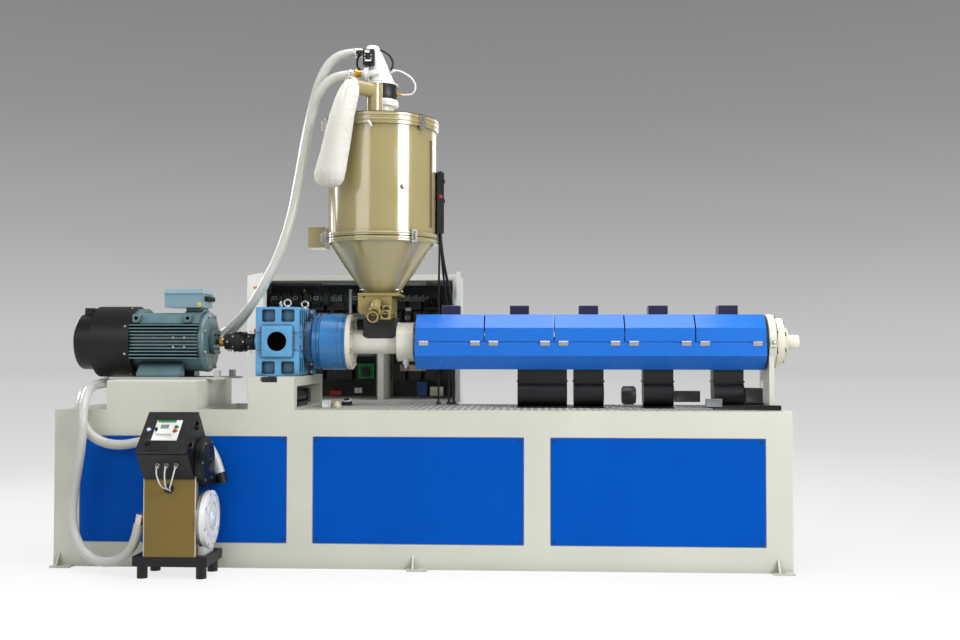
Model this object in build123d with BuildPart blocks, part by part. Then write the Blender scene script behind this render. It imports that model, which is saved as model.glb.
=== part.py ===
import os
from math import cos, radians, sin, tan

from build123d import *

os.makedirs("parts", exist_ok=True)

# Sizes in millimetres. Floor at Z = 0, machine line along X, operator's side towards -Y.
# The origin is on the floor, under the middle of the base.
# A station is a distance along the line from the base's left end.

seat_gap = 0.3            # between curved or separate pieces that seat on each other
base_height = 748
base_width = 714
half_width = base_width / 2
axis_above_base = 327
axis_height = base_height + axis_above_base   # motor, gearbox and barrel share this axis

# Drive, from left to right
fan_overhang = 8          # how far the fan end stands past the base
fan_end_length = 85
fan_end_radius = 141
intake_depth = 12
cowl_length = 212
cowl_radius = 179
motor_length = 340
motor_radius = 150
fin_height = 17
fin_thickness = 6
fin_pitch = 16.4
fin_count = 11
crown_edge = 90           # lower edge of the smooth crown, above the axis
lug_setoff = 148          # outer face of the lifting lugs from the axis
lug_depth = 44
terminal_start = 440
terminal_length = 196
terminal_pad_height = 22
shield_length = 31
shield_radius = 153
bearing_cap_length = 23
bearing_cap_radius = 62
shaft_radius = 15
input_shaft_radius = 20
shaft_engagement = 18     # length of shaft inside each bearing cap
shaft_clearance = 0.06    # radial running clearance
shaft_gap = 47            # bare shaft between the end shield's cap and the coupling
coupling_length = 150
coupling_radius = 50
input_cap_length = 55
gearbox_length = 214
gearbox_depth = 414
gearbox_height = 339
gearbox_bottom = axis_height - 170
split_depth = 290         # front half of the casting, front face to the bolted joint
output_boss_length = 36
output_boss_radius = 104

# Thrust housing, feed section and barrel
thrust_length = 175
thrust_radius = 141
feed_flange_length = 24
feed_flange_radius = 139
feed_length = 227
feed_radius = 60
sleeve_length = 89
sleeve_radius = 98
barrel_radius = 55
heater_radius = 72
zone_count = 5
zone_length = 343.6
cover_gap = 9             # between the sleeve and the cover
end_gap = 13              # between the cover and the clamp ring
cover_half_height = 136.5
cover_half_width = 137
cover_facet = 137         # height of the upright front facet
cover_sheet = 4
lid_gap = 6
ring_length = 35
ring_radius = 138
flange_gap = 8
adapter_length = 35
adapter_radius = 119
spigot_step_length = 27
spigot_step_radius = 70
spigot_length = 60
spigot_radius = 36
outlet_radius = 24
end_margin = 25           # base beyond the clamp ring

# Stations that follow from these lengths
fan_end_start = -fan_overhang
cowl_start = fan_end_start + fan_end_length
motor_start = cowl_start + cowl_length
shield_start = motor_start + motor_length
cap_start = shield_start + shield_length
shaft_start = cap_start + bearing_cap_length
coupling_start = shaft_start + shaft_gap
coupling_end = coupling_start + coupling_length
gearbox_start = coupling_end + input_cap_length
gearbox_end = gearbox_start + gearbox_length
thrust_start = gearbox_end + output_boss_length
feed_flange_start = thrust_start + thrust_length
feed_start = feed_flange_start + feed_flange_length
sleeve_start = feed_start + feed_length
sleeve_end = sleeve_start + sleeve_length
cover_start = sleeve_end + cover_gap
cover_length = zone_count * zone_length
ring_start = cover_start + cover_length + end_gap
ring_end = ring_start + ring_length
adapter_start = ring_end + flange_gap
adapter_end = adapter_start + adapter_length
spigot_start = adapter_end + spigot_step_length
spigot_end = spigot_start + spigot_length

# Base
base_length = ring_end + end_margin
post_width = 128
panel_count = 3
panel_bottom = 120
panel_height = 501
panel_thickness = 3
panel_setback = 2
panel_clearance = 3
deck_thickness = 6
deck_margin = 22
lug_length = 97
lug_reach = 50
lug_thickness = 8
lug_height = 68
lug_hole_radius = 9
lug_inset = 52

# Plinths
motor_plinth_start = 254
motor_plinth_length = 433
motor_plinth_depth = 634
motor_axis_drop = 177     # motor axis above the slide rails
rail_start = 196
rail_length = 577
rail_width = 76
rail_thickness = 10
foot_spread = 279         # between the rows of feet bolts
foot_start = 330
foot_length = 214
foot_hole_spacing = 150
bay_depth = 150
bay_margin = 45
bay_top_rail = 46

# Hopper
hopper_station = 1526.6
hopper_radius = 272.7
hopper_wall = 5
hopper_height = 559
rim_height = 43
rim_radius = 284
flange_thickness = 24
cone_outlet_radius = 88
cone_height = 273
box_flange_thickness = 14
box_flange_size = 206
discharge_width = 168
discharge_depth = 220
discharge_height = 123
chute_height = 40
chute_size = 140
saddle_height = 79        # top of the feed throat above the axis
throat_length = 110
saddle_top = axis_height + saddle_height
discharge_bottom = saddle_top + chute_height
cone_outlet_height = discharge_bottom + discharge_height
hopper_bottom = cone_outlet_height + cone_height
hopper_top = hopper_bottom + hopper_height

# Cabinet behind the base
cabinet_start = 697
cabinet_width = 1179
cabinet_setback = 233     # from the base's rear side
cabinet_front = half_width + cabinet_setback
cabinet_depth = 400
cabinet_height = 1457
cabinet_sheet = 18
cabinet_sill = 756
cabinet_frame = 33
door_width = 287
door_thickness = 20
door_gap = 5
left_door_angle = 58
right_door_angle = 94

# Loader that stands in front of the base
loader_start = 489
loader_length = 341
loader_front = -half_width - 290
loader_depth = 249
loader_foot_height = 57
loader_tray_height = 44
column_start = 540
column_width = 236
column_flange = 42        # depth of the bent sheet's side flanges
column_front_top = 457
blower_setback = 119       # blower axis behind the column's front
control_tilt = 42         # the control box leans back by this angle
control_height = 246
control_width = 230
control_depth = 176
control_door = 16
blower_radius = 131
blower_station = 778
blower_height = 256
filter_radius = 107
filter_height = 525

hose_radius = 23

# Hose routes as (station, y, height), from the receiver to the loader
vacuum_route = [
    (1420, 0, 2548), (1332, 0, 2550), (1254, 4, 2504), (1202, 8, 2412), (1164, 6, 2270),
    (1130, -5, 2090), (1100, -22, 1880), (1060, -45, 1650), (985, -70, 1430), (880, -20, 1275),
    (765, 112, 1192), (640, 268, 1118), (450, 295, 1030), (255, 302, 960), (120, 262, 900),
    (60, 145, 868), (64, 10, 858), (86, -130, 845), (108, -258, 832), (130, -358, 803),
    (148, -416, 732), (182, -430, 650), (254, -428, 596), (346, -421, 580), (450, -412, 600),
    (565, -408, 628), (690, -408, 638), (790, -408, 565), (820, -408, 455),
]
material_route = [
    (1394, -60, 2424), (1308, -60, 2420), (1236, -60, 2372), (1192, -60, 2290), (1160, -62, 2150),
    (1128, -74, 1960), (1096, -98, 1740), (1040, -132, 1520), (945, -142, 1330), (840, -65, 1200),
    (750, 75, 1140), (640, 226, 1068), (470, 250, 992), (320, 252, 945), (235, 250, 915),
    (158, 208, 885), (110, 126, 868), (116, 20, 864), (132, -110, 862), (148, -235, 862),
    (162, -345, 848), (176, -428, 800), (186, -482, 720), (188, -488, 620), (172, -484, 500),
    (150, -480, 375), (138, -480, 255), (158, -486, 160), (212, -500, 86), (292, -520, 52),
    (375, -545, 58), (442, -575, 100), (492, -605, 170), (508, -618, 242),
]


def at(station):
    return station - base_length / 2


def across(station):
    # plane across the line, its origin on the machine axis, local x = Y and local y = Z
    return Plane(origin=(at(station), 0, axis_height), x_dir=(0, 1, 0), z_dir=(1, 0, 0))


def facing_front(y):
    # upright plane at depth y that looks towards the operator, local x = X and local y = Z
    return Plane(origin=(0, y, 0), x_dir=(1, 0, 0), z_dir=(0, -1, 0))


def frame_points(route):
    return [Vector(at(x), y, z) for x, y, z in route]


def corner_radii(points):
    radii = []
    for before, point, after in zip(points, points[1:], points[2:]):
        turn = radians((point - before).get_angle(after - point))
        shorter = min((point - before).length, (after - point).length)
        radii.append(0.45 * shorter / tan(turn / 2))
    return radii


def hose_end(route):
    # plane at the last point, facing onward along the last run
    points = frame_points(route)
    return Plane(origin=points[-1], z_dir=points[-1] - points[-2])


def save(piece, name):
    piece.part.label = name
    export_step(piece.part, f"parts/{name}.step")


hopper_x = at(hopper_station)
machine_axis = Axis((0, 0, axis_height), (1, 0, 0))
rail_top = axis_height - motor_axis_drop
motor_plinth_top = rail_top - rail_thickness
panel_width = (base_length - (panel_count + 1) * post_width) / panel_count
panel_pitch = panel_width + post_width
panel_middle = panel_bottom + panel_height / 2

# Base: a closed welded housing with recesses for the cover panels
recess_depth = panel_thickness + panel_setback
deck_top = base_height
frame_top = base_height - deck_thickness
well_start = motor_plinth_start + motor_plinth_length
well_length = gearbox_start - well_start
well_depth = 60
with BuildPart() as base_frame:
    with BuildSketch(Plane.XY):
        Rectangle(base_length, base_width)
    extrude(amount=frame_top)
    fillet(base_frame.edges().filter_by(Axis.Z), 8)
    for y, inward in ((-half_width, -recess_depth), (half_width, recess_depth)):
        with BuildSketch(facing_front(y)):
            with Locations((0, panel_middle)):
                with GridLocations(panel_pitch, 1, panel_count, 1):
                    Rectangle(panel_width + 2 * panel_clearance, panel_height + 2 * panel_clearance)
        extrude(amount=inward, mode=Mode.SUBTRACT)
    # upstands that frame the deck plate, level with it
    with BuildSketch(Plane.XY.offset(frame_top)):
        Rectangle(base_length, base_width)
        Rectangle(base_length - 2 * deck_margin, base_width - 2 * deck_margin, mode=Mode.SUBTRACT)
    extrude(amount=deck_thickness)
    with BuildSketch(Plane.XY.offset(frame_top)):
        with Locations((at(well_start + well_length / 2), 0)):
            Rectangle(well_length - 2 * deck_margin, base_width - 4 * deck_margin)
    extrude(amount=-well_depth, mode=Mode.SUBTRACT)
save(base_frame, "base_frame")

for name, y in (("front_panels", -half_width + recess_depth), ("rear_panels", half_width - recess_depth)):
    outward = panel_thickness if y < 0 else -panel_thickness
    with BuildPart() as panels:
        with BuildSketch(facing_front(y)):
            with Locations((0, panel_middle)):
                with GridLocations(panel_pitch, 1, panel_count, 1):
                    RectangleRounded(panel_width, panel_height, 4)
        extrude(amount=outward)
    save(panels, name)

# Deck plate between the upstands, open over the well
with BuildPart() as deck_plate:
    with BuildSketch(Plane.XY.offset(frame_top)):
        Rectangle(base_length - 2 * deck_margin - 2, base_width - 2 * deck_margin - 2)
        with Locations((at(well_start + well_length / 2), 0)):
            Rectangle(well_length - 2 * deck_margin, base_width - 4 * deck_margin, mode=Mode.SUBTRACT)
    extrude(amount=deck_thickness)
save(deck_plate, "deck_plate")

# Floor lugs: a foot plate with a bolt hole and a gusset, three along each side
lug_stations = [at(lug_inset), 0, -at(lug_inset)]
lug_middle = half_width + lug_reach / 2
with BuildPart() as floor_lugs:
    with BuildSketch(Plane.XY):
        with Locations(*[(x, side * lug_middle) for x in lug_stations for side in (-1, 1)]):
            Rectangle(lug_length, lug_reach)
            Circle(lug_hole_radius, mode=Mode.SUBTRACT)
    extrude(amount=lug_thickness)
    for x in lug_stations:
        for side in (-1, 1):
            with BuildSketch(Plane.YZ.offset(x - lug_length / 4)):
                with BuildLine():
                    Polyline(
                        (side * half_width, lug_thickness),
                        (side * (half_width + lug_reach - 6), lug_thickness),
                        (side * half_width, lug_height),
                        close=True,
                    )
                make_face()
            extrude(amount=lug_thickness)
save(floor_lugs, "floor_lugs")

# Motor plinth, flush with the base's front
with BuildPart() as motor_plinth:
    with BuildSketch(Plane.XY.offset(deck_top)):
        with Locations((at(motor_plinth_start), -half_width)):
            Rectangle(motor_plinth_length, motor_plinth_depth, align=(Align.MIN, Align.MIN))
    extrude(amount=motor_plinth_top - deck_top)
    chamfer(motor_plinth.faces().sort_by(Axis.Z)[-1].edges(), 5)
save(motor_plinth, "motor_plinth")

# Slide rails under the motor's feet, with a jacking block at the right end of each
with BuildPart() as motor_rails:
    with BuildSketch(Plane.XY.offset(motor_plinth_top)):
        with Locations((at(rail_start + rail_length / 2), 0)):
            with GridLocations(1, foot_spread, 1, 2):
                Rectangle(rail_length, rail_width)
    extrude(amount=rail_thickness)
    with BuildSketch(Plane.XY.offset(rail_top)):
        with Locations((at(rail_start + rail_length - 45), 0)):
            with GridLocations(1, foot_spread, 1, 2):
                Rectangle(26, 40)
    extrude(amount=34)
save(motor_rails, "motor_rails")

# Motor body: tube with side fins, smooth crown, feet, bearing cap and lifting eyes
with BuildPart() as motor_frame:
    with BuildSketch(across(motor_start)):
        Circle(motor_radius)
        with GridLocations(1, fin_pitch, 1, fin_count):
            Rectangle(2 * (motor_radius + fin_height), fin_thickness)
    extrude(amount=motor_length)
    # smooth crown over the top, and a lifting lug at each of its corners
    with BuildSketch(across(motor_start)):
        Circle(motor_radius + fin_height)
        with Locations((0, crown_edge)):
            Rectangle(
                2 * cowl_radius, cowl_radius, align=(Align.CENTER, Align.MIN), mode=Mode.INTERSECT
            )
    extrude(amount=motor_length)
    for side in (-1, 1):
        with BuildSketch(facing_front(side * lug_setoff)):
            with Locations(*[(at(x), axis_height + crown_edge + 26) for x in (motor_start + 28, shield_start - 52)]):
                RectangleRounded(36, 44, 10)
                Circle(9, mode=Mode.SUBTRACT)
        extrude(amount=lug_depth if side < 0 else -lug_depth, dir=(0, 1, 0))
    # pad for the terminal box
    with BuildSketch(Plane.XY.offset(axis_height + motor_radius - 20)):
        with Locations((at(terminal_start + terminal_length / 2), 0)):
            Rectangle(terminal_length - 30, 120)
    extrude(amount=terminal_pad_height + 20)
    with BuildSketch(across(shield_start)):
        Circle(shield_radius)
    extrude(amount=shield_length)
    fillet(motor_frame.edges().filter_by(GeomType.CIRCLE).sort_by(Axis.X)[-1], 18)
    with BuildSketch(across(cap_start)):
        Circle(bearing_cap_radius)
    extrude(amount=bearing_cap_length)
    # feet
    with BuildSketch(across(foot_start)):
        with BuildLine():
            Polyline(
                (-foot_spread / 2 - 34, rail_top - axis_height),
                (foot_spread / 2 + 34, rail_top - axis_height),
                (foot_spread / 2 + 34, rail_top - axis_height + 16),
                (100, -92),
                (-100, -92),
                (-foot_spread / 2 - 34, rail_top - axis_height + 16),
                close=True,
            )
        make_face()
    extrude(amount=foot_length)
    with BuildSketch(across(foot_start)):
        Rectangle(foot_spread - 110, 2 * (axis_height - rail_top), align=(Align.CENTER, Align.CENTER))
        Circle(motor_radius - 8, mode=Mode.SUBTRACT)
    extrude(amount=foot_length, mode=Mode.SUBTRACT)
    with BuildSketch(Plane.XY.offset(rail_top + 16)):
        with Locations((at(foot_start + foot_length / 2), 0)):
            with GridLocations(foot_hole_spacing, foot_spread, 2, 2):
                Circle(7)
    extrude(amount=-16, mode=Mode.SUBTRACT)
    with BuildSketch(across(shaft_start)):
        Circle(shaft_radius + shaft_clearance)
    extrude(amount=-shaft_engagement - seat_gap, mode=Mode.SUBTRACT)
save(motor_frame, "motor_frame")

# Fan cowl: the wide drum over the frame's end and the smaller forced-fan drum
with BuildPart() as motor_fan_cowl:
    with BuildSketch(Plane.XZ):
        with BuildLine():
            Polyline(
                (at(fan_end_start), axis_height),
                (at(fan_end_start), axis_height + fan_end_radius),
                (at(cowl_start), axis_height + fan_end_radius),
                (at(cowl_start) + 12, axis_height + cowl_radius),
                (at(motor_start), axis_height + cowl_radius),
                (at(motor_start), axis_height),
                close=True,
            )
        make_face()
    revolve(axis=machine_axis)
    fillet(motor_fan_cowl.edges().filter_by(GeomType.CIRCLE).sort_by(Axis.X)[0], 16)
    with BuildSketch(Plane.XY.offset(axis_height + fan_end_radius - 12)):
        with Locations((at(cowl_start - 44), 0)):
            RectangleRounded(48, 60, 6)
    extrude(amount=42)
    # air intake
    with BuildSketch(across(fan_end_start)):
        Circle(fan_end_radius - 24)
    extrude(amount=intake_depth, mode=Mode.SUBTRACT)
save(motor_fan_cowl, "motor_fan_cowl")

# Terminal box on the motor's crown
terminal_width = 170
terminal_bottom = axis_height + motor_radius + terminal_pad_height
terminal_height = 70
with BuildPart() as motor_terminal_box:
    with BuildSketch(Plane.XY.offset(terminal_bottom)):
        with Locations((at(terminal_start + terminal_length / 2), 0)):
            Rectangle(terminal_length, terminal_width)
    extrude(amount=terminal_height)
    with BuildSketch(Plane.XY.offset(terminal_bottom + terminal_height)):
        with Locations((at(terminal_start + terminal_length / 2), 0)):
            Rectangle(terminal_length + 14, terminal_width + 14)
    extrude(amount=22, taper=38)
save(motor_terminal_box, "motor_terminal_box")

# Coupling with the shaft ends it joins: two hubs and a grooved middle ring
input_cap_start = gearbox_start - input_cap_length + 8
with BuildPart() as drive_coupling:
    with BuildSketch(Plane.XZ):
        with BuildLine():
            Polyline(
                (at(shaft_start - shaft_engagement), axis_height),
                (at(shaft_start - shaft_engagement), axis_height + shaft_radius),
                (at(coupling_start), axis_height + shaft_radius),
                (at(coupling_start), axis_height + coupling_radius - 10),
                (at(coupling_start + 45), axis_height + coupling_radius - 10),
                (at(coupling_start + 45), axis_height + coupling_radius),
                (at(coupling_end - 45), axis_height + coupling_radius),
                (at(coupling_end - 45), axis_height + coupling_radius - 8),
                (at(coupling_end), axis_height + coupling_radius - 8),
                (at(coupling_end), axis_height + input_shaft_radius),
                (at(input_cap_start + shaft_engagement), axis_height + input_shaft_radius),
                (at(input_cap_start + shaft_engagement), axis_height),
                close=True,
            )
        make_face()
    revolve(axis=machine_axis)
save(drive_coupling, "drive_coupling")

# Gearbox plinth: a fabricated box with a bay open to the right for the oil pump
plinth_start = gearbox_start + 2
plinth_length = gearbox_length + 8
plinth_height = gearbox_bottom - deck_top
bay_width = base_width - 2 * bay_margin - 40
bay_height = plinth_height - bay_top_rail - 6
with BuildPart() as gearbox_plinth:
    with BuildSketch(Plane.XY.offset(deck_top)):
        with Locations((at(plinth_start), 0)):
            Rectangle(plinth_length, base_width, align=(Align.MIN, Align.CENTER))
    extrude(amount=plinth_height)
    with BuildSketch(Plane.YZ.offset(at(plinth_start + plinth_length))):
        with Locations((0, deck_top + 6 + bay_height / 2)):
            Rectangle(bay_width, bay_height)
    extrude(amount=-bay_depth, mode=Mode.SUBTRACT)
    # drain slot under the casting's front
    with BuildSketch(facing_front(-half_width)):
        with Locations((at(gearbox_start + gearbox_length / 2 - 10), gearbox_bottom)):
            Rectangle(72, 44)
    extrude(amount=-180, mode=Mode.SUBTRACT)
save(gearbox_plinth, "gearbox_plinth")

pump_radius = 36
pump_length = 300
pump_foot = (90, 220)
with BuildPart() as oil_pump:
    pump_axis_x = at(plinth_start + plinth_length - bay_depth / 2)
    pump_plane = Plane(origin=(pump_axis_x, 0, deck_top + pump_radius + 16), x_dir=(1, 0, 0), z_dir=(0, 1, 0))
    with BuildSketch(pump_plane.offset(-pump_length / 2)):
        Circle(pump_radius)
    extrude(amount=pump_length)
    with BuildSketch(pump_plane.offset(pump_length / 2)):
        Rectangle(84, 74)
    extrude(amount=60)
    with BuildSketch(Plane.XY.offset(deck_top + 6)):
        with Locations((pump_axis_x, 0)):
            Rectangle(*pump_foot)
    extrude(amount=20)
save(oil_pump, "oil_pump")

# Gearbox casting
front_face = -gearbox_depth / 2
gearbox_middle = gearbox_start + gearbox_length / 2
gearbox_mid_height = gearbox_bottom + gearbox_height / 2
pocket_depth = 30
cover_size = 158
with BuildPart() as gearbox_housing:
    with BuildSketch(Plane.XY.offset(gearbox_bottom)):
        with Locations((at(gearbox_middle), 0)):
            Rectangle(gearbox_length, gearbox_depth)
    extrude(amount=gearbox_height)
    fillet(gearbox_housing.edges().filter_by(Axis.Y), 10)
    with BuildSketch(facing_front(front_face)):
        with Locations((at(gearbox_middle) + 4, gearbox_mid_height)):
            with GridLocations(96, gearbox_height - 84, 2, 2):
                RectangleRounded(66, 62, 10)
    extrude(amount=-pocket_depth, mode=Mode.SUBTRACT)
    # sunk band across the front, and the raised bearing cover in it
    with BuildSketch(facing_front(front_face)):
        with Locations((at(gearbox_middle), axis_height)):
            Rectangle(gearbox_length + 2, 94)
    extrude(amount=-5, mode=Mode.SUBTRACT)
    with BuildSketch(facing_front(front_face + 5)):
        with Locations((at(gearbox_middle), axis_height)):
            RectangleRounded(cover_size, cover_size, 14)
    extrude(amount=14)
    with BuildSketch(facing_front(front_face - 9)):
        with Locations((at(gearbox_middle), axis_height)):
            Circle(47)
    extrude(amount=-34, mode=Mode.SUBTRACT)
    # slots between the ribs of the right side
    slot_count = 4
    slot_pitch = 46
    with BuildSketch(Plane.YZ.offset(at(gearbox_end))):
        for z in (gearbox_mid_height + 116, gearbox_mid_height - 116):
            with Locations((front_face + 110, z)):
                with GridLocations(slot_pitch, 1, slot_count, 1):
                    RectangleRounded(24, 78, 6)
    extrude(amount=-24, mode=Mode.SUBTRACT)
    # bolted joint flange and rear half
    with BuildSketch(facing_front(front_face + split_depth)):
        with Locations((at(gearbox_middle), gearbox_mid_height)):
            Rectangle(gearbox_length + 40, gearbox_height - 6)
    extrude(amount=36, both=True)
    with BuildSketch(across(gearbox_end)):
        Circle(output_boss_radius)
    extrude(amount=output_boss_length - seat_gap)
    with BuildSketch(across(input_cap_start)):
        Circle(44)
    extrude(amount=gearbox_start - input_cap_start)
    with BuildSketch(across(input_cap_start)):
        Circle(input_shaft_radius + shaft_clearance)
    extrude(amount=shaft_engagement + seat_gap, mode=Mode.SUBTRACT)
save(gearbox_housing, "gearbox_housing")

# Thrust bearing housing: turned drum with two steps
with BuildPart() as thrust_housing:
    with BuildSketch(Plane.XZ):
        with BuildLine():
            Polyline(
                (at(thrust_start), axis_height),
                (at(thrust_start), axis_height + thrust_radius - 22),
                (at(thrust_start + 12), axis_height + thrust_radius - 8),
                (at(thrust_start + 46), axis_height + thrust_radius - 5),
                (at(thrust_start + 50), axis_height + thrust_radius),
                (at(feed_flange_start - 16), axis_height + thrust_radius),
                (at(feed_flange_start - 16), axis_height + thrust_radius - 4),
                (at(feed_flange_start), axis_height + thrust_radius - 4),
                (at(feed_flange_start), axis_height),
                close=True,
            )
        make_face()
    revolve(axis=machine_axis)
save(thrust_housing, "thrust_housing")

with BuildPart() as feed_flange:
    with BuildSketch(across(feed_flange_start)):
        Circle(feed_flange_radius)
    extrude(amount=feed_flange_length)
    chamfer(feed_flange.edges().filter_by(GeomType.CIRCLE), 2)
save(feed_flange, "feed_flange")

# Feed section: round body, throat block, sleeve
with BuildPart() as feed_section:
    with BuildSketch(across(feed_start)):
        Circle(feed_radius)
    extrude(amount=feed_length)
    with BuildSketch(Plane.XY.offset(axis_height)):
        with Locations((hopper_x, 0)):
            Rectangle(throat_length + 50, 2 * feed_radius - 12)
    extrude(amount=saddle_top - axis_height)
    with BuildSketch(across(sleeve_start)):
        Circle(sleeve_radius)
    extrude(amount=sleeve_length)
    chamfer(feed_section.edges().filter_by(GeomType.CIRCLE).sort_by(Axis.X)[-1], 4)
save(feed_section, "feed_section")

# Barrel inside the cover, closed by the adapter at its right end
barrel_length = ring_end - sleeve_end
with BuildPart() as barrel:
    with BuildSketch(across(sleeve_end)):
        Circle(barrel_radius)
    extrude(amount=barrel_length)
save(barrel, "barrel")

# Heater bands, one per zone
band_length = 0.72 * zone_length
with BuildPart() as heater_bands:
    for zone in range(zone_count):
        zone_middle = cover_start + (zone + 0.5) * zone_length
        with BuildSketch(across(zone_middle - band_length / 2)):
            Circle(heater_radius)
            Circle(barrel_radius + seat_gap, mode=Mode.SUBTRACT)
        extrude(amount=band_length)
save(heater_bands, "heater_bands")

# Barrel cover: eight-sided tunnel, lower trough in one piece, five hinged upper lids
corner = cover_facet / 2
top_half = cover_half_width - (cover_half_height - corner)


def cover_outline(inset):
    # half of the section above the hinge line, local x = Y, local y = Z
    return [
        (-cover_half_width + inset, 0),
        (-cover_half_width + inset, corner),
        (-top_half, cover_half_height - inset),
        (top_half, cover_half_height - inset),
        (cover_half_width - inset, corner),
        (cover_half_width - inset, 0),
    ]


hinge_drop = 1.5
with BuildPart() as cover_lower:
    with BuildSketch(across(cover_start)):
        with BuildLine():
            Polyline(*[(y, -z - (hinge_drop if z == 0 else 0)) for y, z in cover_outline(0)], close=True)
        make_face()
        with BuildLine():
            Polyline(*[(y, -z - (hinge_drop if z == 0 else 0)) for y, z in cover_outline(cover_sheet)], close=True)
        make_face(mode=Mode.SUBTRACT)
    extrude(amount=cover_length)
save(cover_lower, "cover_lower")

lid_length = zone_length - lid_gap
for zone in range(zone_count):
    lid_start = cover_start + zone * zone_length + lid_gap / 2
    with BuildPart() as cover_lid:
        with BuildSketch(across(lid_start)):
            with BuildLine():
                Polyline(*[(y, z + (hinge_drop if z == 0 else 0)) for y, z in cover_outline(0)], close=True)
            make_face()
            with BuildLine():
                Polyline(*[(y, z + (hinge_drop if z == 0 else 0)) for y, z in cover_outline(cover_sheet)], close=True)
            make_face(mode=Mode.SUBTRACT)
        extrude(amount=lid_length)
    save(cover_lid, f"cover_lid_{zone + 1}")


# Hinges along the front of the cover: a leaf on the trough and a knuckle on the hinge line
hinge_length = 46
hinge_inset = 42
knuckle_radius = 4.5
hinge_offset = 5.5        # hinge line to the cover's front wall
hinge_y = -cover_half_width - hinge_offset
with BuildPart() as cover_hinges:
    for zone in range(zone_count):
        lid_start = cover_start + zone * zone_length + lid_gap / 2
        for station in (lid_start + hinge_inset, lid_start + lid_length - hinge_inset):
            with BuildSketch(across(station - hinge_length / 2)):
                with Locations((hinge_y, 0)):
                    Circle(knuckle_radius)
                with Locations((-cover_half_width - 1.3, -9)):
                    Rectangle(2.4, 20)
                with Locations(((hinge_y - cover_half_width) / 2, -2.4)):
                    Rectangle(hinge_offset, 2.4)
            extrude(amount=hinge_length)
save(cover_hinges, "cover_hinges")

# Vent box on top of each lid, with louvre slots in its sides
vent_length = 95
vent_width = 92
vent_height = 46
for zone in range(zone_count):
    vent_middle = cover_start + (zone + 0.5) * zone_length
    with BuildPart() as vent:
        with BuildSketch(Plane.XY.offset(axis_height + cover_half_height)):
            with Locations((at(vent_middle), 0)):
                Rectangle(vent_length, vent_width)
        extrude(amount=vent_height)
        chamfer(vent.faces().sort_by(Axis.Z)[-1].edges(), 3)
    save(vent, f"vent_{zone + 1}")

# Cooling blowers under the cover: scroll, neck and flange at zones 3 to 5, a twin unit at zone 2
blower_scroll_radius = 60
blower_width = 148
scroll_height = deck_top + blower_scroll_radius + 8
trough_bottom = axis_height - cover_half_height
neck_depth = 96
with BuildPart() as cooling_blowers:
    units = [(cover_start + (zone + 0.5) * zone_length, blower_width) for zone in range(2, zone_count)]
    units.append((cover_start + 1.83 * zone_length, 1.66 * blower_width))
    for middle, width in units:
        with BuildSketch(Plane.YZ.offset(at(middle - width / 2))):
            with Locations((-20, scroll_height)):
                Circle(blower_scroll_radius)
            with Locations((0, (scroll_height + trough_bottom) / 2)):
                Rectangle(neck_depth, trough_bottom - scroll_height)
            with Locations((-20, deck_top + 4)):
                Rectangle(130, 8)
        extrude(amount=width)
        with BuildSketch(Plane.XY.offset(scroll_height + blower_scroll_radius)):
            with Locations((at(middle), 0)):
                Rectangle(width + 8, neck_depth + 14)
        extrude(amount=8)
save(cooling_blowers, "cooling_blowers")

# Clamp ring round the barrel's end and the upright plate that carries it
plate_thickness = 24
plate_half_width = 120
with BuildPart() as barrel_support:
    with BuildSketch(across(ring_start)):
        Circle(ring_radius)
        Circle(barrel_radius + seat_gap, mode=Mode.SUBTRACT)
    extrude(amount=ring_length)
    with BuildSketch(Plane.YZ.offset(at(ring_start))):
        with Locations((0, (deck_top + axis_height) / 2)):
            Rectangle(2 * plate_half_width, axis_height - deck_top)
        with Locations((0, axis_height)):
            Circle(ring_radius - 2, mode=Mode.SUBTRACT)
        with Locations((62, deck_top + 92)):
            RectangleRounded(66, 110, 12, mode=Mode.SUBTRACT)
    extrude(amount=plate_thickness)
    with BuildSketch(Plane.XY.offset(deck_top)):
        with Locations((at(ring_start + plate_thickness / 2), 0)):
            Rectangle(plate_thickness + 16, 2 * plate_half_width + 20)
    extrude(amount=8)
save(barrel_support, "barrel_support")

# Die adapter: bolted flange, step and outlet spigot, bored through
with BuildPart() as die_adapter:
    with BuildSketch(Plane.XZ):
        with BuildLine():
            Polyline(
                (at(ring_end), axis_height),
                (at(ring_end), axis_height + barrel_radius + 12),
                (at(adapter_start), axis_height + barrel_radius + 12),
                (at(adapter_start), axis_height + adapter_radius),
                (at(adapter_end), axis_height + adapter_radius),
                (at(adapter_end), axis_height + spigot_step_radius),
                (at(spigot_start), axis_height + spigot_step_radius),
                (at(spigot_start), axis_height + spigot_radius),
                (at(spigot_end), axis_height + spigot_radius),
                (at(spigot_end), axis_height + outlet_radius),
                (at(adapter_end), axis_height + outlet_radius),
                (at(adapter_end), axis_height),
                close=True,
            )
        make_face()
    revolve(axis=machine_axis)
save(die_adapter, "die_adapter")

# Hopper: round shell with end flanges
hopper_axis = Axis((at(hopper_station), 0, 0), (0, 0, 1))
with BuildPart() as hopper_shell:
    with BuildSketch(Plane.XY.offset(hopper_bottom)):
        with Locations((hopper_x, 0)):
            Circle(hopper_radius)
            Circle(hopper_radius - hopper_wall, mode=Mode.SUBTRACT)
    extrude(amount=hopper_top - hopper_bottom)
    for z in (hopper_bottom, hopper_top - 16):
        with BuildSketch(Plane.XY.offset(z)):
            with Locations((hopper_x, 0)):
                Circle(rim_radius)
                Circle(hopper_radius - hopper_wall, mode=Mode.SUBTRACT)
        extrude(amount=flange_thickness if z == hopper_bottom else 16)
save(hopper_shell, "hopper_shell")

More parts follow.
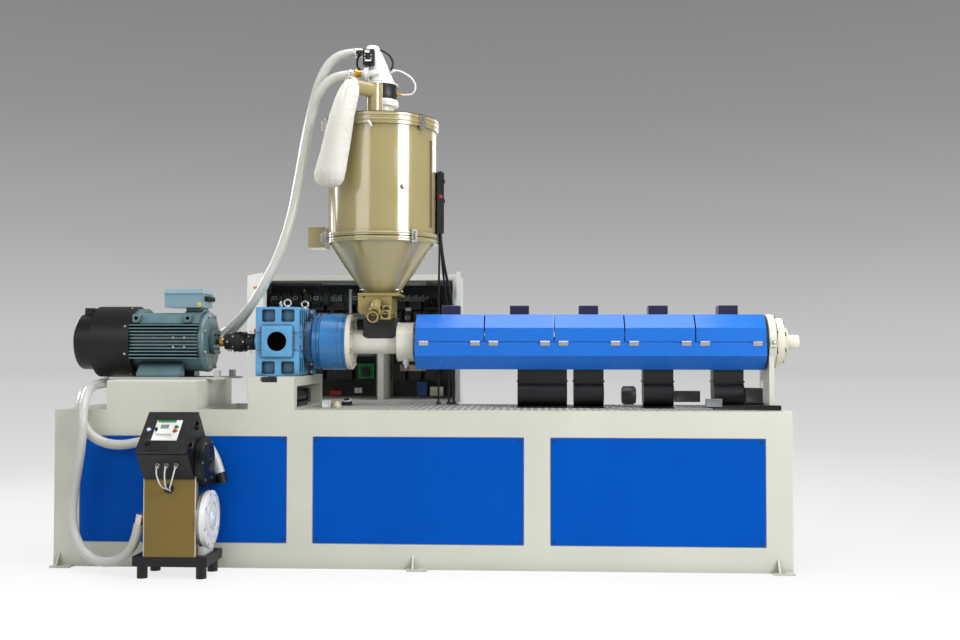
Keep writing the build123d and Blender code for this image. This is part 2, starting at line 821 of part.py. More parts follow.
with BuildPart() as hopper_cone:
    with BuildSketch(Plane.XZ):
        with BuildLine():
            Polyline(
                (hopper_x + cone_outlet_radius - hopper_wall, cone_outlet_height),
                (hopper_x + cone_outlet_radius, cone_outlet_height),
                (hopper_x + hopper_radius - 6, hopper_bottom - flange_thickness),
                (hopper_x + rim_radius, hopper_bottom - flange_thickness),
                (hopper_x + rim_radius, hopper_bottom),
                (hopper_x + hopper_radius - hopper_wall, hopper_bottom),
                (hopper_x + hopper_radius - hopper_wall - 6, hopper_bottom - flange_thickness),
                close=True,
            )
        make_face()
    revolve(axis=hopper_axis)
save(hopper_cone, "hopper_cone")

with BuildPart() as hopper_lid:
    with BuildSketch(Plane.XZ):
        with BuildLine():
            Polyline(
                (hopper_x, hopper_top + rim_height),
                (hopper_x + rim_radius - 4, hopper_top + rim_height),
                (hopper_x + rim_radius, hopper_top + rim_height - 4),
                (hopper_x + rim_radius, hopper_top),
                (hopper_x + hopper_radius - hopper_wall, hopper_top),
                (hopper_x + hopper_radius - hopper_wall, hopper_top + rim_height - 6),
                (hopper_x, hopper_top + rim_height - 6),
                close=True,
            )
        make_face()
    revolve(axis=hopper_axis)
save(hopper_lid, "hopper_lid")

# Toggle clamps: three hold the lid and three hold the cone, 120 degrees apart
clamp_width = 30
lid_clamp_angles = [-40, 80, 200]
cone_clamp_angles = [-50, 70, 202]
lid_top = hopper_top + rim_height


def clamp_plane(angle, z):
    a = radians(angle)
    origin = (hopper_x + rim_radius * cos(a), rim_radius * sin(a), z)
    return Plane(origin=origin, x_dir=(-sin(a), cos(a), 0), z_dir=(cos(a), sin(a), 0))


with BuildPart() as hopper_clamps:
    for angles, z_low, z_high in (
        (lid_clamp_angles, hopper_top - 30, lid_top - 2),
        (cone_clamp_angles, hopper_bottom - flange_thickness - 8, hopper_bottom + flange_thickness + 8),
    ):
        for angle in angles:
            with BuildSketch(clamp_plane(angle, (z_low + z_high) / 2).offset(seat_gap)):
                Rectangle(clamp_width, z_high - z_low)
            extrude(amount=14)
            with BuildSketch(clamp_plane(angle, (z_low + z_high) / 2).offset(14)):
                Rectangle(10, z_high - z_low - 20)
            extrude(amount=14)
save(hopper_clamps, "hopper_clamps")

# Discharge box under the cone, its lower left corner cut away
box_top = cone_outlet_height - box_flange_thickness
box_left = at(hopper_station - box_flange_size / 2)
box_front = -discharge_depth / 2
port_offset = 142
with BuildPart() as discharge_box:
    with BuildSketch(Plane.XY.offset(box_top)):
        with Locations((hopper_x, 0)):
            Rectangle(box_flange_size, discharge_depth + 10)
    extrude(amount=box_flange_thickness)
    with BuildSketch(facing_front(box_front)):
        with BuildLine():
            Polyline(
                (box_left, box_top),
                (box_left + discharge_width, box_top),
                (box_left + discharge_width, discharge_bottom),
                (box_left + 42, discharge_bottom),
                (box_left, discharge_bottom + 28),
                close=True,
            )
        make_face()
    extrude(amount=-discharge_depth)
    # discharge pipe with a square flange, and a square block with a port
    with BuildSketch(facing_front(box_front)):
        with Locations((box_left + 84, discharge_bottom + 40)):
            Circle(31)
    extrude(amount=30)
    with BuildSketch(facing_front(box_front - 20)):
        with Locations((box_left + 84, discharge_bottom + 2)):
            Circle(28)
    extrude(amount=56)
    with BuildSketch(facing_front(box_front - 76)):
        with Locations((box_left + 84, discharge_bottom + 2)):
            Circle(22)
    extrude(amount=-34, mode=Mode.SUBTRACT)
    with BuildSketch(facing_front(box_front)):
        with Locations((box_left + port_offset, discharge_bottom + 14)):
            Rectangle(50, 46)
    extrude(amount=44)
    with BuildSketch(facing_front(box_front - 44)):
        with Locations((box_left + port_offset, discharge_bottom + 14)):
            Circle(17)
    extrude(amount=-30, mode=Mode.SUBTRACT)
save(discharge_box, "discharge_box")

# Black chute from the box down to the feed throat
with BuildPart() as feed_chute:
    with BuildSketch(Plane.XY.offset(saddle_top)):
        with Locations((hopper_x, 0)):
            Rectangle(throat_length + 46, 2 * feed_radius - 14)
    with BuildSketch(Plane.XY.offset(discharge_bottom)):
        with Locations((box_left + discharge_width / 2 + 18, 0)):
            Rectangle(chute_size - 20, discharge_depth - 60)
    loft()
save(feed_chute, "feed_chute")

# Hot air inlet box on the left of the cone's flange
inlet_start = hopper_station - 364.6
inlet_length = 92
with BuildPart() as hot_air_inlet:
    with BuildSketch(facing_front(-60)):
        with Locations((at(inlet_start), hopper_bottom - 42)):
            Rectangle(inlet_length, 104, align=(Align.MIN, Align.MIN))
    extrude(amount=-120)
    with BuildSketch(Plane.XY.offset(hopper_bottom - 90)):
        with Locations((hopper_x, 0)):
            Circle(rim_radius + seat_gap)
    extrude(amount=200, mode=Mode.SUBTRACT)
save(hot_air_inlet, "hot_air_inlet")

# Dryer control box on the right of the shell
dryer_angle = 12
dryer_width = 132
dryer_bottom = hopper_bottom + 32
dryer_top = dryer_bottom + 314
dryer_radius = hopper_radius + seat_gap
a = radians(dryer_angle)
dryer_plane = Plane(
    origin=(hopper_x + dryer_radius * cos(a), dryer_radius * sin(a), (dryer_bottom + dryer_top) / 2),
    x_dir=(-sin(a), cos(a), 0),
    z_dir=(cos(a), sin(a), 0),
)
with BuildPart() as dryer_control_box:
    with BuildSketch(dryer_plane):
        Rectangle(dryer_width, dryer_top - dryer_bottom)
    extrude(amount=28)
    with BuildSketch(dryer_plane.offset(28)):
        Rectangle(dryer_width - 6, dryer_top - dryer_bottom - 6)
    extrude(amount=8)
    with BuildSketch(dryer_plane.offset(36)):
        with Locations((0, 118), (0, 18)):
            Circle(11)
    extrude(amount=12)
save(dryer_control_box, "dryer_control_box")

# Vacuum receiver on the lid: neck, collar, flared ring and a leaning cone with a domed top
receiver_radius = 68
receiver_top_radius = 46
receiver_lean = 44
neck_top = lid_top + 108
collar_top = neck_top + 74
cone_bottom = collar_top + 16
cone_top = cone_bottom + 155
with BuildPart() as receiver_collar:
    with BuildSketch(Plane.XZ):
        with BuildLine():
            Polyline(
                (hopper_x, lid_top),
                (hopper_x + 60, lid_top),
                (hopper_x + 60, neck_top - 34),
                (hopper_x + 82, neck_top - 22),
                (hopper_x + 82, neck_top - 8),
                (hopper_x + 76, neck_top),
                (hopper_x + 76, collar_top),
                (hopper_x, collar_top),
                close=True,
            )
        make_face()
    revolve(axis=hopper_axis)
save(receiver_collar, "receiver_collar")

with BuildPart() as receiver_body:
    with BuildSketch(Plane.XY.offset(collar_top)):
        with Locations((hopper_x, 0)):
            Circle(78)
    with BuildSketch(Plane.XY.offset(cone_bottom)):
        with Locations((hopper_x - 6, 0)):
            Circle(receiver_radius)
    loft()
    with BuildSketch(Plane.XY.offset(cone_bottom)):
        with Locations((hopper_x - 6, 0)):
            Circle(receiver_radius)
    with BuildSketch(Plane.XY.offset(cone_top)):
        with Locations((hopper_x - 6 - receiver_lean, 0)):
            Circle(receiver_top_radius)
    loft()
    with BuildSketch(Plane.XY.offset(cone_top)):
        with Locations((hopper_x - 6 - receiver_lean, 0)):
            Circle(receiver_top_radius)
    extrude(amount=34, taper=28)
    # pipe stubs that the hoses fit on, the lower one with a flange disc
    with BuildSketch(hose_end(vacuum_route[::-1])):
        Circle(18)
    extrude(amount=60)
    with BuildSketch(hose_end(material_route[::-1])):
        Circle(18)
    extrude(amount=124)
    with BuildSketch(hose_end(material_route[::-1]).offset(52)):
        Circle(33)
    extrude(amount=22)
save(receiver_body, "receiver_body")

# Black valve bracket on the receiver's front
valve_width = 56
valve_height = 78
with BuildPart() as receiver_valve:
    with BuildSketch(facing_front(-30)):
        with Locations((hopper_x - 58.6, cone_top - 41)):
            Rectangle(valve_width, valve_height)
    extrude(amount=62)
    with BuildSketch(Plane.XY.offset(cone_bottom)):
        with Locations((hopper_x - 6, 0)):
            Circle(receiver_radius + seat_gap)
    with BuildSketch(Plane.XY.offset(cone_top)):
        with Locations((hopper_x - 6 - receiver_lean, 0)):
            Circle(receiver_top_radius + seat_gap)
    loft(mode=Mode.SUBTRACT)
save(receiver_valve, "receiver_valve")

# Exhaust elbow that carries the dust bag
elbow_radius = 41
elbow_x = hopper_x - 18.6
elbow_y = -150
elbow_height = lid_top + 124
elbow_end = (elbow_x - 90, elbow_y - 100)
with BuildPart() as exhaust_elbow:
    with BuildSketch(Plane.XY.offset(lid_top)):
        with Locations((elbow_x, elbow_y)):
            Circle(elbow_radius)
    extrude(amount=elbow_height - lid_top + elbow_radius - 6)
    reach = ((elbow_end[0] - elbow_x) ** 2 + (elbow_end[1] - elbow_y) ** 2) ** 0.5
    outward = ((elbow_end[0] - elbow_x) / reach, (elbow_end[1] - elbow_y) / reach, 0)
    elbow_plane = Plane(origin=(elbow_x, elbow_y, elbow_height), x_dir=(-outward[1], outward[0], 0), z_dir=outward)
    with BuildSketch(elbow_plane):
        Circle(elbow_radius - 4)
    extrude(amount=reach)
save(exhaust_elbow, "exhaust_elbow")

# Dust bag: a closed sack that hangs from the elbow's end beside the shell
# each row: offsets from the elbow's end along X, Y and Z, then half length and half depth
bag_rows = [
    (-7, -34, 20, 22, 20), (-10, -42, -10, 44, 36), (-19, -54, -52, 58, 42), (-46, -68, -168, 74, 44),
    (-78, -68, -332, 82, 50), (-102, -68, -432, 92, 54), (-100, -68, -480, 80, 46), (-96, -68, -504, 44, 26),
]
bag_sides = 14
bag_turn = radians(-28)
with BuildPart() as dust_bag:
    for dx, dy, dz, half_long, half_deep in bag_rows:
        row_plane = Plane(
            origin=(elbow_end[0] + dx, elbow_end[1] + dy, elbow_height + dz),
            x_dir=(cos(bag_turn), sin(bag_turn), 0),
            z_dir=(0, 0, 1),
        )
        outline = [
            (half_long * cos(radians(360 * k / bag_sides)), half_deep * sin(radians(360 * k / bag_sides)))
            for k in range(bag_sides)
        ]
        with BuildSketch(row_plane):
            with BuildLine():
                Polyline(*outline, close=True)
            make_face()
    loft(ruled=True)
    with BuildSketch(elbow_plane.offset(reach + seat_gap)):
        Circle(elbow_radius - 2)
    extrude(amount=36)
save(dust_bag, "dust_bag")

# Loader base: tray on four feet
loader_middle = loader_start + loader_length / 2
tray_top = loader_foot_height + loader_tray_height
loader_rear = loader_front + loader_depth
with BuildPart() as loader_base:
    with BuildSketch(Plane.XY.offset(loader_foot_height)):
        with Locations((at(loader_middle), loader_front + loader_depth / 2)):
            Rectangle(loader_length, loader_depth)
    extrude(amount=loader_tray_height)
    with BuildSketch(Plane.XY):
        with Locations((at(loader_middle), loader_front + loader_depth / 2)):
            with GridLocations(loader_length - 70, loader_depth - 70, 2, 2):
                Circle(24)
    extrude(amount=loader_foot_height)
save(loader_base, "loader_base")

# Column: a flanged sheet, upright in front and bent back along the control box
tilt = radians(control_tilt)
bend_back = column_flange * tan(tilt / 2)
slope_length = control_height - 10
slope_reach = slope_length * cos(tilt)
slope_rise = slope_length * sin(tilt)
flange_reach = column_flange * sin(tilt)
flange_drop = column_flange * cos(tilt)
with BuildPart() as loader_column:
    with BuildSketch(Plane.YZ.offset(at(column_start))):
        with BuildLine():
            Polyline(
                (loader_front, tray_top),
                (loader_front + column_flange, tray_top),
                (loader_front + column_flange, column_front_top - bend_back),
                (loader_front + slope_reach + flange_reach, column_front_top + slope_rise - flange_drop),
                (loader_front + slope_reach, column_front_top + slope_rise),
                (loader_front, column_front_top),
                close=True,
            )
        make_face()
    extrude(amount=column_width)
    with BuildSketch(facing_front(loader_front)):
        with Locations((at(655), 407)):
            Circle(15)
    extrude(amount=-20, mode=Mode.SUBTRACT)
save(loader_column, "loader_column")

# Control box, seated on the column's sloping top; local x along the slope, local y out of the slope
control_middle = column_start + column_width / 2
control_left = at(control_middle - control_width / 2)
slope = Plane(
    origin=(control_left, loader_front, column_front_top),
    x_dir=(0, cos(tilt), sin(tilt)),
    z_dir=(1, 0, 0),
)
control_body_depth = control_depth - control_door
control_hinge_setoff = 11 # hinge line to the box's right side
control_gap = 5           # between the box and its door
control_knuckle_radius = 5
control_knuckle_length = 24
control_pin_radius = 3
control_hinge_starts = (24, control_height - 92)


def control_hinge_plane(start):
    # across the hinge line, local x = X and local y towards the column
    line = (start, control_body_depth + control_gap / 2, control_width + control_hinge_setoff)
    return Plane(origin=slope.from_local_coords(line), x_dir=(1, 0, 0), z_dir=slope.x_dir)


with BuildPart() as control_box:
    with BuildSketch(slope):
        with Locations((-10, 0)):
            Rectangle(control_height, control_body_depth, align=(Align.MIN, Align.MIN))
    extrude(amount=control_width)
    for start in control_hinge_starts:
        with BuildSketch(control_hinge_plane(start)):
            Circle(control_knuckle_radius)
            Rectangle(control_hinge_setoff + 1, 14, align=(Align.MAX, Align.MIN))
        extrude(amount=control_knuckle_length)
        with BuildSketch(control_hinge_plane(start + control_knuckle_length)):
            Circle(control_pin_radius)
        extrude(amount=control_knuckle_length - 4)
save(control_box, "control_box")

with BuildPart() as control_box_door:
    with BuildSketch(slope):
        with Locations((-10, control_body_depth + control_gap)):
            Rectangle(control_height, control_door, align=(Align.MIN, Align.MIN))
    extrude(amount=control_width)
    for start in control_hinge_starts:
        knuckle_plane = control_hinge_plane(start + control_knuckle_length + seat_gap)
        with BuildSketch(knuckle_plane):
            Circle(control_knuckle_radius)
            Rectangle(control_hinge_setoff + 1, 14, align=(Align.MAX, Align.MAX))
        extrude(amount=control_knuckle_length)
        with BuildSketch(knuckle_plane):
            Circle(control_pin_radius + shaft_clearance)
        extrude(amount=control_knuckle_length, mode=Mode.SUBTRACT)
save(control_box_door, "control_box_door")

# Vacuum blower and suction filter on the column's right side
column_right = column_start + column_width
blower_y = loader_front + blower_setback
filter_y = loader_front + 87
with BuildPart() as vacuum_blower:
    with BuildSketch(Plane.YZ.offset(at(column_right))):
        with Locations((blower_y, blower_height)):
            Circle(blower_radius - 6)
    extrude(amount=18)
    with BuildSketch(Plane.YZ.offset(at(column_right + 18))):
        with Locations((blower_y, blower_height)):
            Circle(blower_radius)
    extrude(amount=24)
    with BuildSketch(Plane.YZ.offset(at(column_right))):
        with Locations((blower_y, tray_top + 20)):
            Rectangle(140, 40)
    extrude(amount=30)
    # motor drum, behind the column and clear of its flange
    with BuildSketch(Plane.YZ.offset(at(column_right))):
        with Locations((blower_y, blower_height)):
            Circle(blower_setback - column_flange - 5)
    extrude(amount=-130)
save(vacuum_blower, "vacuum_blower")

elbow_joint = tuple(hose_end(vacuum_route).origin)
with BuildPart() as suction_filter:
    with BuildSketch(Plane.YZ.offset(at(column_right))):
        with Locations((filter_y, filter_height)):
            Circle(filter_radius)
    extrude(amount=26)
    with BuildSketch(Plane.YZ.offset(at(column_right))):
        with Locations(((elbow_joint[1] + filter_y) / 2, elbow_joint[2] - 34)):
            Rectangle(elbow_joint[1] - filter_y, 30)
    extrude(amount=30)
    with BuildSketch(hose_end(vacuum_route)):
        Circle(25)
    extrude(amount=50)
save(suction_filter, "suction_filter")

# Cabinet behind the base: closed below the deck line, open in front above it
cabinet_rear = cabinet_front + cabinet_depth
cabinet_end = cabinet_start + cabinet_width
divider_station = 1441
duct_width = 520
duct_height = 80
duct_middle = 690
hinge_setoff = 15         # hinge line in front of the shell
hinge_line_y = cabinet_front - hinge_setoff
door_bottom = cabinet_sill + 4
door_top = cabinet_height - 6
door_knuckle_radius = 7
door_knuckle_length = 30
door_pin_radius = 4
hinge_heights = (door_bottom + 90, door_top - 90)
with BuildPart() as cabinet_shell:
    with BuildSketch(Plane.XY):
        with Locations((at(cabinet_start), cabinet_front)):
            Rectangle(cabinet_width, cabinet_depth, align=(Align.MIN, Align.MIN))
    extrude(amount=cabinet_height)
    bay_start = cabinet_start + cabinet_frame
    with BuildSketch(facing_front(cabinet_front)):
        with BuildLine():
            Polyline(
                (at(bay_start), cabinet_sill),
                (at(cabinet_end - cabinet_frame), cabinet_sill),
                (at(cabinet_end - cabinet_frame), cabinet_height - cabinet_frame),
                (at(bay_start), cabinet_height - cabinet_frame),
                close=True,
            )
        make_face()
        with Locations((at(divider_station), (cabinet_sill + cabinet_height) / 2)):
            Rectangle(cabinet_frame, cabinet_height - cabinet_sill + 2, mode=Mode.SUBTRACT)
    extrude(amount=-(cabinet_depth - cabinet_sheet), mode=Mode.SUBTRACT)
    # cable duct across to the back of the base
    with BuildSketch(facing_front(cabinet_front)):
        with Locations((at((cabinet_start + cabinet_end) / 2), duct_middle)):
            Rectangle(duct_width, duct_height)
    extrude(amount=cabinet_setback)
    # lower hinge halves: a lug, a knuckle and its pin, two for each door
    for hinge_x, lug_x in ((at(cabinet_start), at(cabinet_start) + 3), (at(cabinet_end), at(cabinet_end) - 3)):
        for z in hinge_heights:
            with BuildSketch(Plane.XY.offset(z)):
                with Locations((hinge_x, hinge_line_y)):
                    Circle(door_knuckle_radius)
                with Locations((lug_x, hinge_line_y)):
                    Rectangle(6, hinge_setoff + 1, align=(Align.CENTER, Align.MIN))
            extrude(amount=-door_knuckle_length)
            with BuildSketch(Plane.XY.offset(z)):
                with Locations((hinge_x, hinge_line_y)):
                    Circle(door_pin_radius)
            extrude(amount=door_knuckle_length - 4)
save(cabinet_shell, "cabinet_shell")

# Switchgear on a mounting plate in each bay
plate_y = cabinet_rear - cabinet_sheet
gear_depth = 90
left_bay = (bay_start + 8, divider_station - cabinet_frame / 2 - 8)
right_bay = (divider_station + cabinet_frame / 2 + 8, cabinet_end - cabinet_frame - 8)
with BuildPart() as cabinet_gear:
    for bay_left, bay_right in (left_bay, right_bay):
        middle = at((bay_left + bay_right) / 2)
        wide = bay_right - bay_left
        with BuildSketch(facing_front(plate_y)):
            with Locations((middle, (cabinet_sill + cabinet_height - cabinet_frame) / 2)):
                Rectangle(wide, cabinet_height - cabinet_sill - cabinet_frame - 16)
        extrude(amount=10)
        for level in (0.22, 0.52, 0.8):
            z = cabinet_sill + level * (cabinet_height - cabinet_sill)
            with BuildSketch(facing_front(plate_y - 10)):
                with Locations((middle, z)):
                    with GridLocations(wide / 4, 1, 4, 1):
                        Rectangle(wide / 4 - 22, 96)
            extrude(amount=gear_depth)
save(cabinet_gear, "cabinet_gear")

# Cabinet doors, shown open; each turns on pins in front of the shell's corner
door_setoff = 13          # hinge line to the slab's edge
for name, station, direction in (
    ("cabinet_door_left", cabinet_start, -left_door_angle),
    ("cabinet_door_right", cabinet_end, 180 + right_door_angle),
):
    d = radians(direction)
    with BuildPart() as cabinet_door:
        door_plane = Plane(
            origin=(at(station), hinge_line_y, door_bottom),
            x_dir=(cos(d), sin(d), 0),
            z_dir=(0, 0, 1),
        )
        with BuildSketch(door_plane):
            with Locations((door_setoff, 0)):
                Rectangle(door_width - door_setoff, door_thickness, align=(Align.MIN, Align.CENTER))
        extrude(amount=door_top - door_bottom)
        for z in hinge_heights:
            knuckle_plane = door_plane.offset(z - door_bottom + seat_gap)
            with BuildSketch(knuckle_plane):
                Circle(door_knuckle_radius)
                Rectangle(door_setoff + 1, 6, align=(Align.MIN, Align.CENTER))
            extrude(amount=door_knuckle_length)
            with BuildSketch(knuckle_plane):
                Circle(door_pin_radius + shaft_clearance)
            extrude(amount=door_knuckle_length, mode=Mode.SUBTRACT)
    save(cabinet_door, name)

for name, route in (("vacuum_hose", vacuum_route), ("material_hose", material_route)):
    points = frame_points(route)
    radii = corner_radii(points)
    print(name, "smallest bend", round(min(radii)), "at point", radii.index(min(radii)) + 1)
    with BuildPart() as hose:
        with BuildLine() as hose_line:
            FilletPolyline(*points, radius=radii)
        with BuildSketch(Plane(origin=points[0], z_dir=points[1] - points[0])):
            Circle(hose_radius)
        sweep()
    length = hose_line.wire().length
    print(name, "length", round(length), "volume ratio", round(hose.part.volume / (3.14159 * hose_radius ** 2 * length), 4))
    save(hose, name)

# Fitting on the column's left side that takes the conveying hose
nozzle_plane = hose_end(material_route)
nozzle_middle = nozzle_plane.offset(34).origin
with BuildPart() as suction_nozzle:
    with BuildSketch(nozzle_plane):
        Circle(19)
    extrude(amount=52)
    with BuildSketch(Plane(origin=nozzle_middle, x_dir=(0, 1, 0), z_dir=(1, 0, 0))):
        Circle(13)
    extrude(amount=at(column_start) - nozzle_middle.X)
save(suction_nozzle, "suction_nozzle")
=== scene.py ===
import math

import bpy
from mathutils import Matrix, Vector


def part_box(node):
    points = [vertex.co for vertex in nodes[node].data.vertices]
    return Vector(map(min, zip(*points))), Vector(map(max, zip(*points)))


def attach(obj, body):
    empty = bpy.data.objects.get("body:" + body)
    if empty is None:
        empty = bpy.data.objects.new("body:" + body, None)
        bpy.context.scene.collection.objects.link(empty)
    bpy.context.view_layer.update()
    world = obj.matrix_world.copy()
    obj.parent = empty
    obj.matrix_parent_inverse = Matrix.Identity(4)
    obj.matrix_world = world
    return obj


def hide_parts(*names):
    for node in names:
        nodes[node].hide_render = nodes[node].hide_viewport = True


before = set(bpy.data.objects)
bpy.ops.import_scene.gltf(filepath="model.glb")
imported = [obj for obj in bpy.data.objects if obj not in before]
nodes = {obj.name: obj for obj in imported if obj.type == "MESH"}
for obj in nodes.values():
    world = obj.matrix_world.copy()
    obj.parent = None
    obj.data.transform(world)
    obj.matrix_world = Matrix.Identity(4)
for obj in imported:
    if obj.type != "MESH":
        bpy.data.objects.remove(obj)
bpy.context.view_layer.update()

leftEnd = -1.75      # the base's left end along the line
axisHeight = 1.075   # motor, gearbox and barrel axis

cameraSettings = {
    "place": (0.55643, -5.70050, 1.02402),
    "turn": (math.pi / 2 + 0.0283461, -0.0013286, 0.0492539),
    "lens": 42.52,
}

lightSettings = {
    "key": {"place": (5.0, -4.0, 3.2), "aim": (0.1, 0, 1.1), "size": 2.6, "power": 275},
    "fill": {"place": (-3.4, -5.0, 3.6), "aim": (0, 0, 0.9), "size": 3.2, "power": 80},
    "top": {"place": (0.4, -0.6, 5.0), "aim": (0.3, 0, 1.0), "size": 3.4, "power": 150},
    "rim": {"place": (-4.4, 1.6, 2.8), "aim": (-0.2, 0, 1.6), "size": 1.8, "power": 110},
    "back": {"place": (1.5, 4.6, 4.2), "aim": (0, 0, 1.2), "size": 4.0, "power": 90},
    "skyStrength": 0.46,
    "skySteps": [(0.0, 0.57), (0.1, 0.405), (0.2, 0.29), (0.3, 0.236)],   # height of the ray, grey
}

floorSettings = {
    "size": 160,
    "colour": (0.48, 0.48, 0.475),
    "glow": 1.3,          # the steps are shares of this
    "centre": (0, -3, 0),
    "reach": 60,          # metres that the steps below run over
    "steps": [(0.023, 0.96), (0.033, 0.92), (0.046, 0.862), (0.063, 0.8), (0.09, 0.754), (0.133, 0.708),
              (0.217, 0.662), (0.36, 0.621), (0.8, 0.572), (1.0, 0.554)],
    "seenShare": 0.7,     # the rest takes light and shadow as paint does
}


def pickNothing():
    if bpy.context.object and bpy.context.object.mode != "OBJECT":
        bpy.ops.object.mode_set(mode="OBJECT")
    bpy.ops.object.select_all(action="DESELECT")


def station(distance):
    # a distance in metres from the base's left end, as a place along the line
    return leftEnd + distance


def placeOf(spot):
    # the point of a spot given as station, y and height
    return Vector((station(spot[0]), spot[1], spot[2]))


def srgb(red, green, blue):
    values = []
    for value in (red, green, blue):
        part = value / 255
        values.append(part / 12.92 if part <= 0.04045 else ((part + 0.055) / 1.055) ** 2.4)
    return tuple(values)


def newMaterial(name, colour, roughness, metallic=0.0):
    material = bpy.data.materials.new(name)
    material.use_nodes = True
    material.diffuse_color = (*colour, 1)
    shader = material.node_tree.nodes["Principled BSDF"]
    shader.inputs["Base Color"].default_value = (*colour, 1)
    shader.inputs["Roughness"].default_value = roughness
    shader.inputs["Metallic"].default_value = metallic
    return material, shader


def addCamera(settings):
    data = bpy.data.cameras.new("shotCamera")
    data.lens = settings["lens"]
    data.sensor_width = 36
    data.clip_end = 200
    camera = bpy.data.objects.new("shotCamera", data)
    camera.location = settings["place"]
    camera.rotation_euler = settings["turn"]
    bpy.context.scene.collection.objects.link(camera)
    bpy.context.scene.camera = camera


def addAreaLight(name, settings):
    data = bpy.data.lights.new(name, "AREA")
    data.size = settings["size"]
    data.energy = settings["power"]
    light = bpy.data.objects.new(name, data)
    light.location = settings["place"]
    aim = Vector(settings["aim"]) - Vector(settings["place"])
    light.rotation_euler = aim.to_track_quat("-Z", "Y").to_euler()
    bpy.context.scene.collection.objects.link(light)


def greyRamp(tree, source, steps):
    ramp = tree.nodes.new("ShaderNodeValToRGB")
    elements = ramp.color_ramp.elements
    while len(elements) < len(steps):
        elements.new(0.5)
    for element, (position, grey) in zip(elements, steps):
        element.position = position
        element.color = (grey, grey, grey, 1)
    tree.links.new(source, ramp.inputs["Fac"])
    return ramp.outputs["Color"]


def seenRays(tree):
    # 1 for what the camera sees, also in a reflection or through glass
    path = tree.nodes.new("ShaderNodeLightPath")
    total = path.outputs["Is Camera Ray"]
    for name in ("Is Glossy Ray", "Is Transmission Ray"):
        both = tree.nodes.new("ShaderNodeMath")
        both.operation = "MAXIMUM"
        tree.links.new(total, both.inputs[0])
        tree.links.new(path.outputs[name], both.inputs[1])
        total = both.outputs[0]
    return total


def addSky(settings):
    # the object gets an even sky, and the camera sees a grey backdrop that brightens towards the floor
    world = bpy.data.worlds.new("studio")
    bpy.context.scene.world = world
    world.use_nodes = True
    tree = world.node_tree
    tree.nodes.clear()
    out = tree.nodes.new("ShaderNodeOutputWorld")
    even = tree.nodes.new("ShaderNodeBackground")
    seen = tree.nodes.new("ShaderNodeBackground")
    mix = tree.nodes.new("ShaderNodeMixShader")
    even.inputs["Color"].default_value = (1, 1, 1, 1)
    even.inputs["Strength"].default_value = settings["skyStrength"]
    coord = tree.nodes.new("ShaderNodeTexCoord")
    split = tree.nodes.new("ShaderNodeSeparateXYZ")
    tree.links.new(coord.outputs["Generated"], split.inputs[0])
    tree.links.new(greyRamp(tree, split.outputs["Z"], settings["skySteps"]), seen.inputs["Color"])
    tree.links.new(seenRays(tree), mix.inputs["Fac"])
    tree.links.new(even.outputs[0], mix.inputs[1])
    tree.links.new(seen.outputs[0], mix.inputs[2])
    tree.links.new(mix.outputs[0], out.inputs["Surface"])


def addFloor(settings):
    pickNothing()
    bpy.ops.mesh.primitive_plane_add(size=settings["size"], location=(0, 0, 0))
    floor = bpy.context.object
    floor.name = "studioFloor"
    material, shader = newMaterial("floorPaint", settings["colour"], 0.9)
    tree = material.node_tree
    coord = tree.nodes.new("ShaderNodeTexCoord")
    away = tree.nodes.new("ShaderNodeVectorMath")
    away.operation = "DISTANCE"
    away.inputs[1].default_value = settings["centre"]
    tree.links.new(coord.outputs["Object"], away.inputs[0])
    share = tree.nodes.new("ShaderNodeMath")
    share.operation = "DIVIDE"
    share.inputs[1].default_value = settings["reach"]
    tree.links.new(away.outputs["Value"], share.inputs[0])
    glow = tree.nodes.new("ShaderNodeEmission")
    glow.inputs["Strength"].default_value = settings["glow"]
    tree.links.new(greyRamp(tree, share.outputs[0], settings["steps"]), glow.inputs["Color"])
    weight = tree.nodes.new("ShaderNodeMath")
    weight.operation = "MULTIPLY"
    weight.inputs[1].default_value = settings["seenShare"]
    tree.links.new(seenRays(tree), weight.inputs[0])
    mix = tree.nodes.new("ShaderNodeMixShader")
    tree.links.new(weight.outputs[0], mix.inputs["Fac"])
    tree.links.new(shader.outputs[0], mix.inputs[1])
    tree.links.new(glow.outputs[0], mix.inputs[2])
    tree.links.new(mix.outputs[0], tree.nodes["Material Output"].inputs["Surface"])
    floor.data.materials.append(material)


def objectNoise(material, scale, detail=4.0, stretch=(1, 1, 1)):
    # noise on object coordinates, in features per metre
    tree = material.node_tree
    coord = tree.nodes.new("ShaderNodeTexCoord")
    mapping = tree.nodes.new("ShaderNodeMapping")
    mapping.inputs["Scale"].default_value = stretch
    noise = tree.nodes.new("ShaderNodeTexNoise")
    noise.inputs["Scale"].default_value = scale
    noise.inputs["Detail"].default_value = detail
    tree.links.new(coord.outputs["Object"], mapping.inputs["Vector"])
    tree.links.new(mapping.outputs["Vector"], noise.inputs["Vector"])
    return noise.outputs["Fac"]


def spread(material, source, low, high, start=0.3, end=0.7):
    # maps a noise to a range of values
    tree = material.node_tree
    node = tree.nodes.new("ShaderNodeMapRange")
    for key, value in (("From Min", start), ("From Max", end), ("To Min", low), ("To Max", high)):
        node.inputs[key].default_value = value
    tree.links.new(source, node.inputs["Value"])
    return node.outputs["Result"]


def mixColours(material, factor, first, second):
    tree = material.node_tree
    node = tree.nodes.new("ShaderNodeMix")
    node.data_type = "RGBA"
    for socket, value in ((node.inputs[6], first), (node.inputs[7], second)):
        if isinstance(value, tuple):
            socket.default_value = (*value, 1)
        else:
            tree.links.new(value, socket)
    tree.links.new(factor, node.inputs["Factor"])
    return node.outputs[2]


